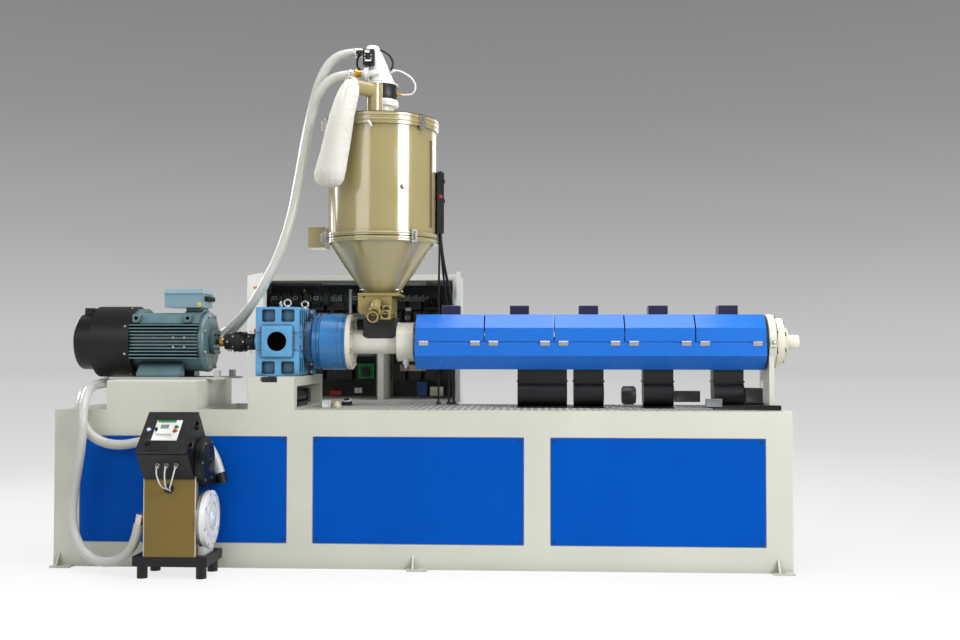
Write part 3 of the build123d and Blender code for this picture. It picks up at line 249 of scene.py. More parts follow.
def addBump(material, shader, height, strength, distance):
    tree = material.node_tree
    bump = tree.nodes.new("ShaderNodeBump")
    bump.inputs["Strength"].default_value = strength
    bump.inputs["Distance"].default_value = distance
    tree.links.new(height, bump.inputs["Height"])
    tree.links.new(bump.outputs["Normal"], shader.inputs["Normal"])


def facingUp(material):
    # 1 on surfaces that face up, 0 on walls and undersides
    tree = material.node_tree
    geometry = tree.nodes.new("ShaderNodeNewGeometry")
    split = tree.nodes.new("ShaderNodeSeparateXYZ")
    tree.links.new(geometry.outputs["Normal"], split.inputs[0])
    return spread(material, split.outputs["Z"], 0.0, 1.0, 0.5, 0.95)


def paintedHollowShade(material, tone, most=0.45, reach=0.07, low=0.3):
    # painted shade: the colour darkens towards near-black in corners and gaps, by ambient occlusion
    tree = material.node_tree
    hollow = tree.nodes.new("ShaderNodeAmbientOcclusion")
    hollow.samples = 6
    hollow.inputs["Distance"].default_value = reach
    share = spread(material, hollow.outputs["AO"], most, 0.0, low, 0.9)
    return mixColours(material, share, tone, (0.004, 0.005, 0.007))


def paintedSteel(
    name, colour, roughness=0.32, grain=0.35, shade=0.05, dust=0.12, coat=0.25, hollowShade=0.3, shine=0.5
):
    # sprayed paint: slight orange peel, cloudy tone, dust on what faces up, painted shade in corners and gaps
    material, shader = newMaterial(name, colour, roughness)
    tree = material.node_tree
    cloud = spread(material, objectNoise(material, 2.3, 5.0), 0.0, 1.0)
    darker = tuple(part * (1 - shade) for part in colour)
    lighter = tuple(min(1.0, part * (1 + shade)) for part in colour)
    tone = mixColours(material, cloud, darker, lighter)
    if dust > 0:
        specks = spread(material, objectNoise(material, 46, 6.0), 0.0, dust, 0.42, 0.62)
        multiply = tree.nodes.new("ShaderNodeMath")
        multiply.operation = "MULTIPLY"
        tree.links.new(specks, multiply.inputs[0])
        tree.links.new(facingUp(material), multiply.inputs[1])
        tone = mixColours(material, multiply.outputs[0], tone, (0.52, 0.5, 0.46))
    # painted shade: the colour darkens in corners and gaps
    if hollowShade > 0:
        tone = paintedHollowShade(material, tone, hollowShade)
    tree.links.new(tone, shader.inputs["Base Color"])
    shader.inputs["Specular IOR Level"].default_value = shine
    gloss = spread(material, objectNoise(material, 7.0, 5.0), roughness - 0.06, roughness + 0.09)
    tree.links.new(gloss, shader.inputs["Roughness"])
    shader.inputs["Coat Weight"].default_value = coat
    shader.inputs["Coat Roughness"].default_value = 0.12
    addBump(material, shader, objectNoise(material, 340, 2.0), grain, 0.00035)
    return material


def castMetalPaint(name, colour, roughness=0.36):
    # paint over a sand casting: coarser skin, with painted shade darkening its corners and gaps
    material, shader = newMaterial(name, colour, roughness)
    tree = material.node_tree
    cloud = spread(material, objectNoise(material, 9.0, 7.0), 0.0, 1.0)
    tone = mixColours(
        material, cloud, tuple(part * 0.86 for part in colour), tuple(min(1, part * 1.07) for part in colour)
    )
    # painted shade: colour darkened strongly towards black in corners and gaps
    tone = paintedHollowShade(material, tone, 0.95, 0.045, 0.42)
    tree.links.new(tone, shader.inputs["Base Color"])
    tree.links.new(
        spread(material, objectNoise(material, 21, 5.0), roughness - 0.1, roughness + 0.12),
        shader.inputs["Roughness"]
    )
    shader.inputs["Coat Weight"].default_value = 0.3
    shader.inputs["Coat Roughness"].default_value = 0.16
    addBump(material, shader, objectNoise(material, 150, 5.0), 0.5, 0.0009)
    return material


def machinedMetal(name, colour, roughness=0.28, along="x", marks=0.35):
    # turned metal: fine rings round the line's axis, faint stains
    stretch = {"x": (1.0, 0.03, 0.03), "z": (0.03, 0.03, 1.0), "flat": (1.0, 0.05, 1.0)}[along]
    material, shader = newMaterial(name, colour, roughness, 1.0)
    tree = material.node_tree
    stain = spread(material, objectNoise(material, 12, 6.0), 0.0, 1.0)
    tone = mixColours(material, stain, tuple(part * 0.8 for part in colour), colour)
    tree.links.new(tone, shader.inputs["Base Color"])
    rings = objectNoise(material, 620, 2.0, stretch)
    tree.links.new(spread(material, rings, roughness - 0.08, roughness + 0.12), shader.inputs["Roughness"])
    addBump(material, shader, rings, marks, 0.0003)
    return material


def mouldedPlastic(name, colour, roughness=0.42, grain=0.4):
    material, shader = newMaterial(name, colour, roughness)
    tree = material.node_tree
    tone = mixColours(
        material, spread(material, objectNoise(material, 15, 5.0), 0.0, 1.0),
        tuple(part * 0.85 for part in colour), tuple(min(1, part * 1.12 + 0.004) for part in colour)
    )
    tree.links.new(tone, shader.inputs["Base Color"])
    tree.links.new(
        spread(material, objectNoise(material, 33, 4.0), roughness - 0.07, roughness + 0.1),
        shader.inputs["Roughness"]
    )
    addBump(material, shader, objectNoise(material, 900, 2.0), grain, 0.0003)
    return material


def milkyHose(name):
    # soft clear hose with a spiral wire in its wall
    colour = srgb(214, 215, 209)
    material, shader = newMaterial(name, colour, 0.3)
    tree = material.node_tree
    coord = tree.nodes.new("ShaderNodeTexCoord")
    split = tree.nodes.new("ShaderNodeSeparateXYZ")
    tree.links.new(coord.outputs["UV"], split.inputs[0])
    # the spiral: turns along the hose plus the way round it
    turns = tree.nodes.new("ShaderNodeMath")
    turns.operation = "MULTIPLY_ADD"
    turns.inputs[1].default_value = 400.0
    tree.links.new(split.outputs["X"], turns.inputs[0])
    tree.links.new(split.outputs["Y"], turns.inputs[2])
    wave = tree.nodes.new("ShaderNodeMath")
    wave.operation = "FRACT"
    tree.links.new(turns.outputs[0], wave.inputs[0])
    ridge = tree.nodes.new("ShaderNodeMath")
    ridge.operation = "PINGPONG"
    ridge.inputs[1].default_value = 0.5
    tree.links.new(wave.outputs[0], ridge.inputs[0])
    line = spread(material, ridge.outputs[0], 1.0, 0.0, 0.0, 0.3)
    tone = mixColours(material, line, colour, srgb(202, 204, 200))
    stain = spread(material, objectNoise(material, 6, 5.0), 0.0, 0.35)
    tone = mixColours(material, stain, tone, srgb(190, 188, 176))
    tree.links.new(tone, shader.inputs["Base Color"])
    shader.inputs["Transmission Weight"].default_value = 0.18
    shader.inputs["IOR"].default_value = 1.45
    shader.inputs["Coat Weight"].default_value = 0.35
    shader.inputs["Coat Roughness"].default_value = 0.1
    addBump(material, shader, line, 0.25, 0.0005)
    return material


def wovenCloth(name, colour):
    # plain weave of a dust bag, with a soft nap
    material, shader = newMaterial(name, colour, 0.85)
    tree = material.node_tree
    coord = tree.nodes.new("ShaderNodeTexCoord")
    threads = []
    for axis in ("Z", "X"):
        wave = tree.nodes.new("ShaderNodeTexWave")
        wave.bands_direction = axis
        wave.inputs["Scale"].default_value = 190
        wave.inputs["Distortion"].default_value = 0.6
        wave.inputs["Detail"].default_value = 1
        tree.links.new(coord.outputs["Object"], wave.inputs["Vector"])
        threads.append(wave.outputs["Fac"])
    weave = tree.nodes.new("ShaderNodeMath")
    weave.operation = "MULTIPLY"
    tree.links.new(threads[0], weave.inputs[0])
    tree.links.new(threads[1], weave.inputs[1])
    tone = mixColours(
        material, spread(material, objectNoise(material, 5, 6.0), 0.0, 1.0),
        tuple(part * 0.88 for part in colour), colour
    )
    tree.links.new(tone, shader.inputs["Base Color"])
    shader.inputs["Sheen Weight"].default_value = 0.3
    addBump(material, shader, weave.outputs[0], 0.35, 0.0006)
    return material


def pick(*pieces):
    pickNothing()
    for piece in pieces:
        piece.select_set(True)
    bpy.context.view_layer.objects.active = pieces[0]


def applyModifiers(piece):
    pick(piece)
    for modifier in list(piece.modifiers):
        bpy.ops.object.modifier_apply(modifier=modifier.name)


def settle(piece):
    pick(piece)
    bpy.ops.object.transform_apply(location=True, rotation=True, scale=True)
    return piece


def roundEdges(piece, width, segments=2, angle=32):
    bevel = piece.modifiers.new("edge", "BEVEL")
    bevel.width = width
    bevel.segments = segments
    bevel.limit_method = "ANGLE"
    bevel.angle_limit = math.radians(angle)
    applyModifiers(piece)
    bpy.ops.object.shade_smooth_by_angle(angle=math.radians(42))
    return piece


def pickEnd(piece, direction):
    # edit mode with the faces picked that look along a direction and lie farthest that way
    pick(piece)
    bpy.ops.object.mode_set(mode="EDIT")
    bpy.ops.mesh.select_mode(type="FACE")
    bpy.ops.mesh.select_all(action="DESELECT")
    bpy.ops.object.mode_set(mode="OBJECT")
    aim = Vector(direction).normalized()
    facing = [face for face in piece.data.polygons if face.normal.dot(aim) > 0.99]
    farthest = max(face.center.dot(aim) for face in facing)
    for face in facing:
        face.select = face.center.dot(aim) > farthest - 0.0004
    bpy.ops.object.mode_set(mode="EDIT")


def stepEnd(piece, direction, inset, rise):
    # insets the end face and draws it out, or in where rise is negative
    pickEnd(piece, direction)
    bpy.ops.mesh.inset(thickness=inset, depth=0)
    bpy.ops.mesh.extrude_region_move(TRANSFORM_OT_translate={"value": Vector(direction).normalized() * rise})
    bpy.ops.object.mode_set(mode="OBJECT")
    return piece


def addBlock(low, high, edge=0.002, segments=2):
    # a housing between two corners, each given as station, y and height
    pickNothing()
    first, last = placeOf(low), placeOf(high)
    bpy.ops.mesh.primitive_cube_add(size=1, location=(first + last) / 2, scale=last - first)
    piece = settle(bpy.context.object)
    return roundEdges(piece, edge, segments) if edge else piece


def addRod(place, towards, radius, length, sides=24):
    pickNothing()
    aim = Vector(towards).normalized()
    bpy.ops.mesh.primitive_cylinder_add(vertices=sides, radius=radius, depth=length,
                                        location=placeOf(place) + aim * length / 2,
                                        rotation=aim.to_track_quat("Z", "Y").to_euler())
    return settle(bpy.context.object)


def addTurned(place, towards, steps, sides=32, edge=0.0006):
    # a turned piece from its foot up: each step has a radius and a length, and a negative length is a bore
    aim = Vector(towards).normalized()
    radius, reached = steps[0]
    piece = addRod(place, towards, radius, reached, sides)
    pickEnd(piece, aim)
    for nextRadius, length in steps[1:]:
        bpy.ops.mesh.extrude_region_move()
        ratio = nextRadius / radius
        bpy.ops.transform.resize(value=(ratio, ratio, ratio), center_override=placeOf(place) + aim * reached)
        bpy.ops.mesh.extrude_region_move(TRANSFORM_OT_translate={"value": aim * length})
        reached += length
        radius = nextRadius
    bpy.ops.object.mode_set(mode="OBJECT")
    return roundEdges(piece, edge) if edge else piece


def addRing(place, towards, radius, thickness, around=48, across=10):
    pickNothing()
    turn = Vector(towards).normalized().to_track_quat("Z", "Y").to_euler()
    bpy.ops.mesh.primitive_torus_add(major_radius=radius, minor_radius=thickness, major_segments=around,
                                     minor_segments=across, location=placeOf(place), rotation=turn)
    piece = settle(bpy.context.object)
    bpy.ops.object.shade_smooth()
    return piece


def joinPieces(pieces):
    pick(*pieces)
    if len(pieces) > 1:
        bpy.ops.object.join()
    return settle(bpy.context.object)


def cutRound(piece, place, towards, radius, depth):
    # bores a round hole through a piece
    cutter = addRod(place, towards, radius, depth, 48)
    cut = piece.modifiers.new("bore", "BOOLEAN")
    cut.operation = "DIFFERENCE"
    cut.object = cutter
    applyModifiers(piece)
    bpy.data.objects.remove(cutter)


def copyPiece(template, place, towards=(0, 0, 1)):
    # a copy with a mesh of its own; the template stands at the origin and looks up
    piece = template.copy()
    piece.data = template.data.copy()
    bpy.context.scene.collection.objects.link(piece)
    piece.location = placeOf(place)
    piece.rotation_euler = Vector(towards).normalized().to_track_quat("Z", "Y").to_euler()
    return piece


def copyAll(template, spots):
    # copies at spots of (place, direction), joined; the template goes
    copies = [copyPiece(template, place, towards) for place, towards in spots]
    bpy.data.objects.remove(template)
    return joinPieces(copies)


def finishPiece(piece, name, finish, body="machine"):
    piece.name = name
    piece.data.name = name
    piece.data.materials.clear()
    piece.data.materials.append(finishes[finish])
    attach(piece, body)
    return piece


lineOrigin = (-leftEnd, 0, 0)     # the frame's origin, as a spot


def hexBolt(size):
    # head on its washer, for a thread of that size
    washer = addTurned(
        lineOrigin, (0, 0, 1), [(size * 1.05, size * 0.14), (size * 0.98, size * 0.05)], 20, size * 0.03
    )
    head = addTurned(
        (-leftEnd, 0, size * 0.18), (0, 0, 1), [(size * 0.95, size * 0.5), (size * 0.8, size * 0.1)], 6,
        size * 0.04
    )
    return joinPieces([washer, head])


def socketScrew(size):
    return addTurned(
        lineOrigin, (0, 0, 1),
        [(size * 0.8, size * 0.8), (size * 0.72, size * 0.08), (size * 0.42, -size * 0.5)], 16, size * 0.03
    )


def panScrew(size):
    head = addTurned(
        lineOrigin, (0, 0, 1), [(size, size * 0.25), (size * 0.72, size * 0.22), (size * 0.2, -size * 0.15)],
        16, size * 0.04
    )
    return head


screwKinds = {"hex": hexBolt, "socket": socketScrew, "pan": panScrew}


def addScrews(name, kind, size, spots, finish="zincSteel", body="machine"):
    finishPiece(copyAll(screwKinds[kind](size), spots), name, finish, body)


def circleSpots(along, radius, count, start=0, towards=(1, 0, 0), centre=(0, axisHeight)):
    # spots on a circle round an axis that runs along the line
    spots = []
    for number in range(count):
        angle = math.radians(start + 360 * number / count)
        spots.append((
            (along, centre[0] + radius * math.cos(angle), centre[1] + radius * math.sin(angle)), towards
        ))
    return spots


def radialSpots(along, radius, angles, centre=(0, axisHeight)):
    # spots on a drum, each looking away from its axis
    spots = []
    for degrees in angles:
        y, z = math.cos(math.radians(degrees)), math.sin(math.radians(degrees))
        spots.append(((along, centre[0] + radius * y, centre[1] + radius * z), (0, y, z)))
    return spots


def addLine(name, route, radius, finish, body="machine", roundness=4):
    # a hose, cable or bar with a smooth line through its route
    curve = bpy.data.curves.new(name, "CURVE")
    curve.dimensions = "3D"
    curve.bevel_depth = radius
    curve.bevel_resolution = roundness
    curve.resolution_u = 10
    curve.use_fill_caps = True
    line = curve.splines.new("NURBS")
    line.points.add(len(route) - 1)
    for point, spot in zip(line.points, route):
        point.co = (*placeOf(spot), 1)
    line.order_u = 3
    line.use_endpoint_u = True
    piece = bpy.data.objects.new(name, curve)
    bpy.context.scene.collection.objects.link(piece)
    return finishPiece(piece, name, finish, body)


def addCord(name, route, radius, finish, body="machine"):
    piece = addLine(name, route, radius, finish, body)
    return piece


def addBlocks(name, finish, corners, edge=0.002, body="machine"):
    # several small housings of one finish as one piece, their fronts stepped back
    made = []
    for low, high in corners:
        block = addBlock(low, high, 0)
        step = min(high[0] - low[0], high[2] - low[2]) * 0.12
        stepEnd(block, (0, -1, 0), step, -min(0.003, step))
        made.append(roundEdges(block, min(edge, step)))
    return finishPiece(joinPieces(made), name, finish, body)


def plainLamp(name, colour, strength):
    # a small lit lens
    material, shader = newMaterial(name, colour, 0.15)
    shader.inputs["Emission Color"].default_value = (*colour, 1)
    shader.inputs["Emission Strength"].default_value = strength
    shader.inputs["Coat Weight"].default_value = 0.6
    tone = mixColours(
        material, spread(material, objectNoise(material, 60), 0.0, 1.0), tuple(part * 0.8 for part in colour),
        colour
    )
    material.node_tree.links.new(tone, shader.inputs["Base Color"])
    return material


# colours as the photograph shows them
finishes = {
    "creamPaint": paintedSteel("creamPaint", srgb(205, 206, 193), 0.36, coat=0.1),
    "panelBlue": paintedSteel("panelBlue", srgb(0, 80, 180), 0.46, shade=0.06, dust=0.0, coat=0.0, shine=0.05),
    "lidBlue": paintedSteel("lidBlue", srgb(22, 106, 204), 0.28, shade=0.04, dust=0.0, coat=0.3, shine=0.25),
    "gearboxBlue": castMetalPaint("gearboxBlue", srgb(92, 160, 208), 0.34),
    "thrustBlue": castMetalPaint("thrustBlue", srgb(34, 116, 180), 0.3),
    "motorTeal": castMetalPaint("motorTeal", srgb(90, 120, 126), 0.36),
    "terminalTeal": paintedSteel("terminalTeal", srgb(122, 155, 168), 0.36),
    "cowlBlack": paintedSteel("cowlBlack", srgb(13, 13, 12), 0.42, dust=0.0, coat=0.0, shine=0.35),
    "hopperBeige": paintedSteel(
        "hopperBeige", srgb(160, 147, 98), 0.17, grain=0.1, shade=0.03, dust=0.0, coat=1.0, hollowShade=0.4,
        shine=0.8
    ),
    "outletOchre": paintedSteel("outletOchre", srgb(158, 142, 84), 0.3, hollowShade=0.6),
    "columnOchre": paintedSteel("columnOchre", srgb(128, 107, 54), 0.42, coat=0.0, shine=0.25),
    "seamBrown": paintedSteel("seamBrown", srgb(112, 94, 58), 0.4),
    "whiteEnamel": paintedSteel("whiteEnamel", srgb(230, 231, 230), 0.28),
    "cabinetCream": paintedSteel("cabinetCream", srgb(222, 223, 215), 0.4),
    "drumBeige": castMetalPaint("drumBeige", srgb(190, 182, 158), 0.4),
    "deckGrey": paintedSteel("deckGrey", srgb(186, 187, 180), 0.42, grain=0.6, dust=0.25),
    "blackPaint": paintedSteel("blackPaint", srgb(13, 13, 13), 0.42, dust=0.03, coat=0.0, shine=0.4),
    "ventNavy": paintedSteel("ventNavy", srgb(16, 13, 58), 0.3, dust=0.06),
    "pumpDark": castMetalPaint("pumpDark", srgb(30, 33, 33), 0.4),
    "blackPlastic": mouldedPlastic("blackPlastic", srgb(10, 10, 11)),
    "gearPlastic": mouldedPlastic("gearPlastic", srgb(26, 29, 30)),
    "greyPlastic": mouldedPlastic("greyPlastic", srgb(118, 124, 126)),
    "palePlastic": mouldedPlastic("palePlastic", srgb(222, 223, 220)),
    "sandPlastic": mouldedPlastic("sandPlastic", srgb(206, 194, 164)),
    "redPlastic": mouldedPlastic("redPlastic", srgb(186, 32, 34)),
    "greenPlastic": mouldedPlastic("greenPlastic", srgb(24, 128, 62)),
    "bluePlastic": mouldedPlastic("bluePlastic", srgb(22, 62, 128)),
    "yellowPlastic": mouldedPlastic("yellowPlastic", srgb(216, 186, 44)),
    "displayGlass": mouldedPlastic("displayGlass", srgb(126, 136, 132), 0.12, 0.0),
    "whiteLamp": plainLamp("whiteLamp", srgb(236, 236, 255), 1.2),
    "redLamp": plainLamp("redLamp", srgb(206, 34, 30), 0.25),
    "amberLamp": plainLamp("amberLamp", srgb(226, 122, 34), 0.25),
    "blueLamp": plainLamp("blueLamp", srgb(36, 58, 168), 0.25),
    "turnedSteel": machinedMetal("turnedSteel", srgb(206, 203, 194), 0.26),
    "feedSteel": paintedSteel("feedSteel", srgb(216, 213, 202), 0.22, shade=0.03, dust=0.0, coat=0.5),
    "paleFlange": paintedSteel("paleFlange", srgb(222, 217, 200), 0.3),
    "bandSteel": machinedMetal("bandSteel", srgb(170, 166, 156), 0.34),
    "zincSteel": machinedMetal("zincSteel", srgb(196, 198, 196), 0.3, "flat", 0.1),
    "darkSteel": machinedMetal("darkSteel", srgb(70, 70, 70), 0.36, "flat", 0.1),
    "brassMetal": machinedMetal("brassMetal", srgb(206, 164, 92), 0.3, "flat", 0.1),
    "brightSteel": machinedMetal("brightSteel", srgb(220, 221, 220), 0.2, "z", 0.15),
    "milkyHose": milkyHose("milkyHose"),
    # near-black, dull paint: painted shade for the inside of the gearbox bore
    "boreShadeBlack": paintedSteel("boreShadeBlack", srgb(4, 4, 5), 0.8, dust=0.0, coat=0.0, hollowShade=0.0, shine=0.05),
    "bagCloth": wovenCloth("bagCloth", srgb(222, 220, 211)),
}

finishSlots = {name: "black_plastic" for name in finishes}
finishSlots.update({
    "creamPaint": "base_cream", "paleFlange": "base_cream", "panelBlue": "panel_blue", "lidBlue": "lid_blue",
    "gearboxBlue": "gearbox_blue", "thrustBlue": "thrust_blue", "motorTeal": "motor_teal",
    "terminalTeal": "motor_teal",
    "cowlBlack": "black_paint", "blackPaint": "black_paint", "ventNavy": "black_paint",
    "pumpDark": "black_paint",
    "hopperBeige": "hopper_beige", "outletOchre": "outlet_ochre", "columnOchre": "column_ochre",
    "seamBrown": "column_ochre",
    "whiteEnamel": "box_white", "palePlastic": "box_white", "drumBeige": "box_white",
    "cabinetCream": "cabinet_grey",
    "deckGrey": "deck_grey", "turnedSteel": "machined_steel", "feedSteel": "machined_steel",
    "bandSteel": "heater_steel",
    "zincSteel": "bright_steel", "darkSteel": "bright_steel", "brassMetal": "bright_steel",
    "brightSteel": "bright_steel",
    "gearPlastic": "gear_dark", "greyPlastic": "gear_dark", "milkyHose": "hose_clear", "bagCloth": "bag_cloth",
})

nodeFinish = {
    "creamPaint": ["base_frame", "floor_lugs", "motor_plinth", "gearbox_plinth", "barrel_support"],
    "panelBlue": ["front_panels", "rear_panels"],
    "lidBlue": ["cover_lower", "cover_lid_1", "cover_lid_2", "cover_lid_3", "cover_lid_4", "cover_lid_5"],
    "gearboxBlue": ["gearbox_housing"],
    "thrustBlue": ["thrust_housing"],
    "motorTeal": ["motor_frame"],
    "terminalTeal": ["motor_terminal_box"],
    "cowlBlack": ["motor_fan_cowl"],
    "hopperBeige": ["hopper_shell", "hopper_cone", "hopper_lid", "exhaust_elbow", "hot_air_inlet"],
    "outletOchre": ["discharge_box"],
    "columnOchre": ["loader_column"],
    "whiteEnamel": ["receiver_body", "vacuum_blower"],
    "cabinetCream": ["cabinet_shell", "cabinet_door_left", "cabinet_door_right"],
    "deckGrey": ["deck_plate", "motor_rails"],
    "blackPaint": [
        "drive_coupling", "cooling_blowers", "receiver_collar", "suction_filter", "control_box",
        "control_box_door", "dryer_control_box", "loader_base"
    ],
    "pumpDark": ["oil_pump"],
    "ventNavy": ["vent_1", "vent_2", "vent_3", "vent_4", "vent_5"],
    "blackPlastic": ["feed_chute", "receiver_valve"],
    "gearPlastic": ["cabinet_gear"],
    "turnedSteel": ["barrel", "suction_nozzle"],
    "feedSteel": ["feed_section"],
    "paleFlange": ["feed_flange", "die_adapter"],
    "bandSteel": ["heater_bands"],
    "brightSteel": ["hopper_clamps", "cover_hinges"],
}


def finishNodes():
    for finish, names in nodeFinish.items():
        for name in names:
            mesh = nodes[name].data
            mesh.materials.clear()
            mesh.materials.append(finishes[finish])


def nodeBox(name):
    # the low and high corner of a node of the frame, each as station, y and height
    low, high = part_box(name)
    return (low[0] - leftEnd, low[1], low[2]), (high[0] - leftEnd, high[1], high[2])


bpy.context.scene.view_settings.view_transform = "Standard"
addCamera(cameraSettings)
addSky(lightSettings)
for lightName in ("key", "fill", "top", "rim", "back"):
    addAreaLight(lightName + "Light", lightSettings[lightName])
addFloor(floorSettings)
print("camera, light and floor set")

hoseSettings = {
    "radius": 0.023,
    "vacuumRoute": [  # (station, y, height) in metres, from the receiver to the loader
        (1.420, 0, 2.548), (1.332, 0, 2.550), (1.254, 0.004, 2.504), (1.202, 0.008, 2.412),
        (1.164, 0.006, 2.270),
        (1.130, -0.005, 2.090), (1.100, -0.022, 1.880), (1.060, -0.045, 1.650), (0.985, -0.070, 1.430),
        (0.880, -0.020, 1.275),
        (0.765, 0.112, 1.192), (0.640, 0.268, 1.118), (0.450, 0.295, 1.030), (0.255, 0.302, 0.960),
        (0.120, 0.262, 0.900),
        (0.060, 0.145, 0.868), (0.064, 0.010, 0.858), (0.086, -0.130, 0.845), (0.108, -0.258, 0.832),
        (0.130, -0.358, 0.803),
        (0.148, -0.416, 0.732), (0.182, -0.430, 0.650), (0.254, -0.428, 0.596), (0.346, -0.421, 0.580),
        (0.450, -0.412, 0.600),
        (0.565, -0.408, 0.628), (0.690, -0.408, 0.638), (0.790, -0.408, 0.565), (0.820, -0.408, 0.455),
    ],
    "materialRoute": [
        (1.394, -0.060, 2.424), (1.308, -0.060, 2.420), (1.236, -0.060, 2.372), (1.192, -0.060, 2.290),
        (1.160, -0.062, 2.150),
        (1.128, -0.074, 1.960), (1.096, -0.098, 1.740), (1.040, -0.132, 1.520), (0.945, -0.142, 1.330),
        (0.840, -0.065, 1.200),
        (0.750, 0.075, 1.140), (0.640, 0.226, 1.068), (0.470, 0.250, 0.992), (0.320, 0.252, 0.945),
        (0.235, 0.250, 0.915),
        (0.158, 0.208, 0.885), (0.110, 0.126, 0.868), (0.116, 0.020, 0.864), (0.132, -0.110, 0.862),
        (0.148, -0.235, 0.862),
        (0.162, -0.345, 0.848), (0.176, -0.428, 0.800), (0.186, -0.482, 0.720), (0.188, -0.488, 0.620),
        (0.172, -0.484, 0.500),
        (0.150, -0.480, 0.375), (0.138, -0.480, 0.255), (0.158, -0.486, 0.160), (0.212, -0.500, 0.086),
        (0.292, -0.520, 0.052),
        (0.375, -0.545, 0.058), (0.442, -0.575, 0.100), (0.492, -0.605, 0.170), (0.508, -0.618, 0.242),
    ],
}

vacuumHose = addCord(
    "vacuumHose", hoseSettings["vacuumRoute"], hoseSettings["radius"], "milkyHose"
)
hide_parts("vacuum_hose")
materialHose = addCord(
    "materialHose", hoseSettings["materialRoute"], hoseSettings["radius"], "milkyHose"
)
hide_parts("material_hose")
print("hoses laid")

# motor: grille in the fan end, screws and bolts, cable glands
motorSettings = {
    "grilleRings": (0.028, 0.046, 0.064, 0.082, 0.1, 0.116),
    "grilleWire": 0.0022,
    "shieldCircle": 0.138,
    "capCircle": 0.05,
    "glandPlaces": (-0.042, 0.0, 0.042),
}


def buildMotor(settings):
    wires = [
        addRing((-0.003, 0, axisHeight), (1, 0, 0), radius, settings["grilleWire"], 64, 6)
        for radius in settings["grilleRings"]
    ]
    for number in range(6):
        angle = math.radians(60 * number)
        towards = (0, math.cos(angle), math.sin(angle))
        wires.append(addRod(
            (-0.0015, 0.02 * towards[1], axisHeight + 0.02 * towards[2]), towards, 0.0024, 0.097, 8
        ))
    wires.append(addTurned((-0.006, 0, axisHeight), (1, 0, 0), [(0.022, 0.002), (0.028, 0.004)], 32))
    finishPiece(joinPieces(wires), "fanGrille", "blackPaint")
    addScrews("shieldBolts", "hex", 0.01, circleSpots(0.66, settings["shieldCircle"], 8, 22.5))
    addScrews(
        "bearingCapScrews", "socket", 0.007, circleSpots(0.683, settings["capCircle"], 4, 45), "darkSteel"
    )
    addScrews("cowlScrews", "pan", 0.006, radialSpots(0.268, 0.179, range(20, 380, 45)))
    addScrews(
        "finScrews", "pan", 0.0055,
        [((along, -0.1645, height), (0, -1, 0)) for along in (0.512, 0.567) for height in (1.0935, 1.047)]
    )
    low, high = nodeBox("motor_terminal_box")
    corners = [
        ((x, y, high[2]), (0, 0, 1))
        for x in (low[0] + 0.016, high[0] - 0.016)
        for y in (low[1] + 0.016, high[1] - 0.016)
    ]
    addScrews("terminalScrews", "pan", 0.005, corners)
    glands = [
        addTurned(
            (high[0] - 0.009, y, low[2] + 0.045), (1, 0, 0),
            [(0.015, 0.006), (0.012, 0.01), (0.0135, 0.007), (0.008, 0.004)], 24
        )
        for y in settings["glandPlaces"]
    ]
    finishPiece(joinPieces(glands), "terminalGlands", "blackPlastic")
    mark = addTurned((0.616, low[1] + 0.008, 1.262), (0, -1, 0), [(0.012, 0.002), (0.01, 0.001)], 20)
    finishPiece(mark, "earthPoint", "yellowPlastic")
    feetBolts = [((x, y, 0.898 + 0.022), (0, 0, 1)) for x in (0.362, 0.512) for y in (-0.1395, 0.1395)]
    addScrews("motorFootBolts", "hex", 0.014, feetBolts)


buildMotor(motorSettings)
print("motor fitted")

# coupling: grub screws round both hubs, a brass collar on the motor shaft
couplingSettings = {"hubStations": (0.752, 0.778, 0.832, 0.858), "radius": 0.05}


def buildCoupling(settings):
    spots = []
    for number, along in enumerate(settings["hubStations"]):
        spots += radialSpots(
            along, settings["radius"] - 0.001, [30 * (number % 2) + 60 * turn for turn in range(6)]
        )
    addScrews("couplingScrews", "socket", 0.006, spots, "zincSteel", "coupling")
    collar = addTurned((0.7, 0, axisHeight), (1, 0, 0), [(0.021, 0.004), (0.025, 0.014), (0.021, 0.004)], 32)
    finishPiece(collar, "shaftCollar", "brassMetal", "coupling")
    band = addTurned((0.797, 0, axisHeight), (1, 0, 0), [(0.0512, 0.003), (0.0525, 0.01), (0.0512, 0.003)], 48)
    finishPiece(band, "couplingSpider", "blackPlastic", "coupling")


buildCoupling(couplingSettings)
print("coupling fitted")

# gearbox: joint bolts, lifting eyes, side cover, bearing cover with its bore darkened as painted shade, oil
# plugs, a black block as painted shade in the drain slot
gearboxSettings = {
    "start": 0.935, "end": 1.149, "top": 1.244, "front": -0.207,
    "shaftStation": 1.042, "boreRadius": 0.0469,
    "jointY": 0.083,
    "eyes": [(1.0, 0.06, 1.244), (1.082, -0.16, 1.244), (1.13, 0.03, 1.244)],
}


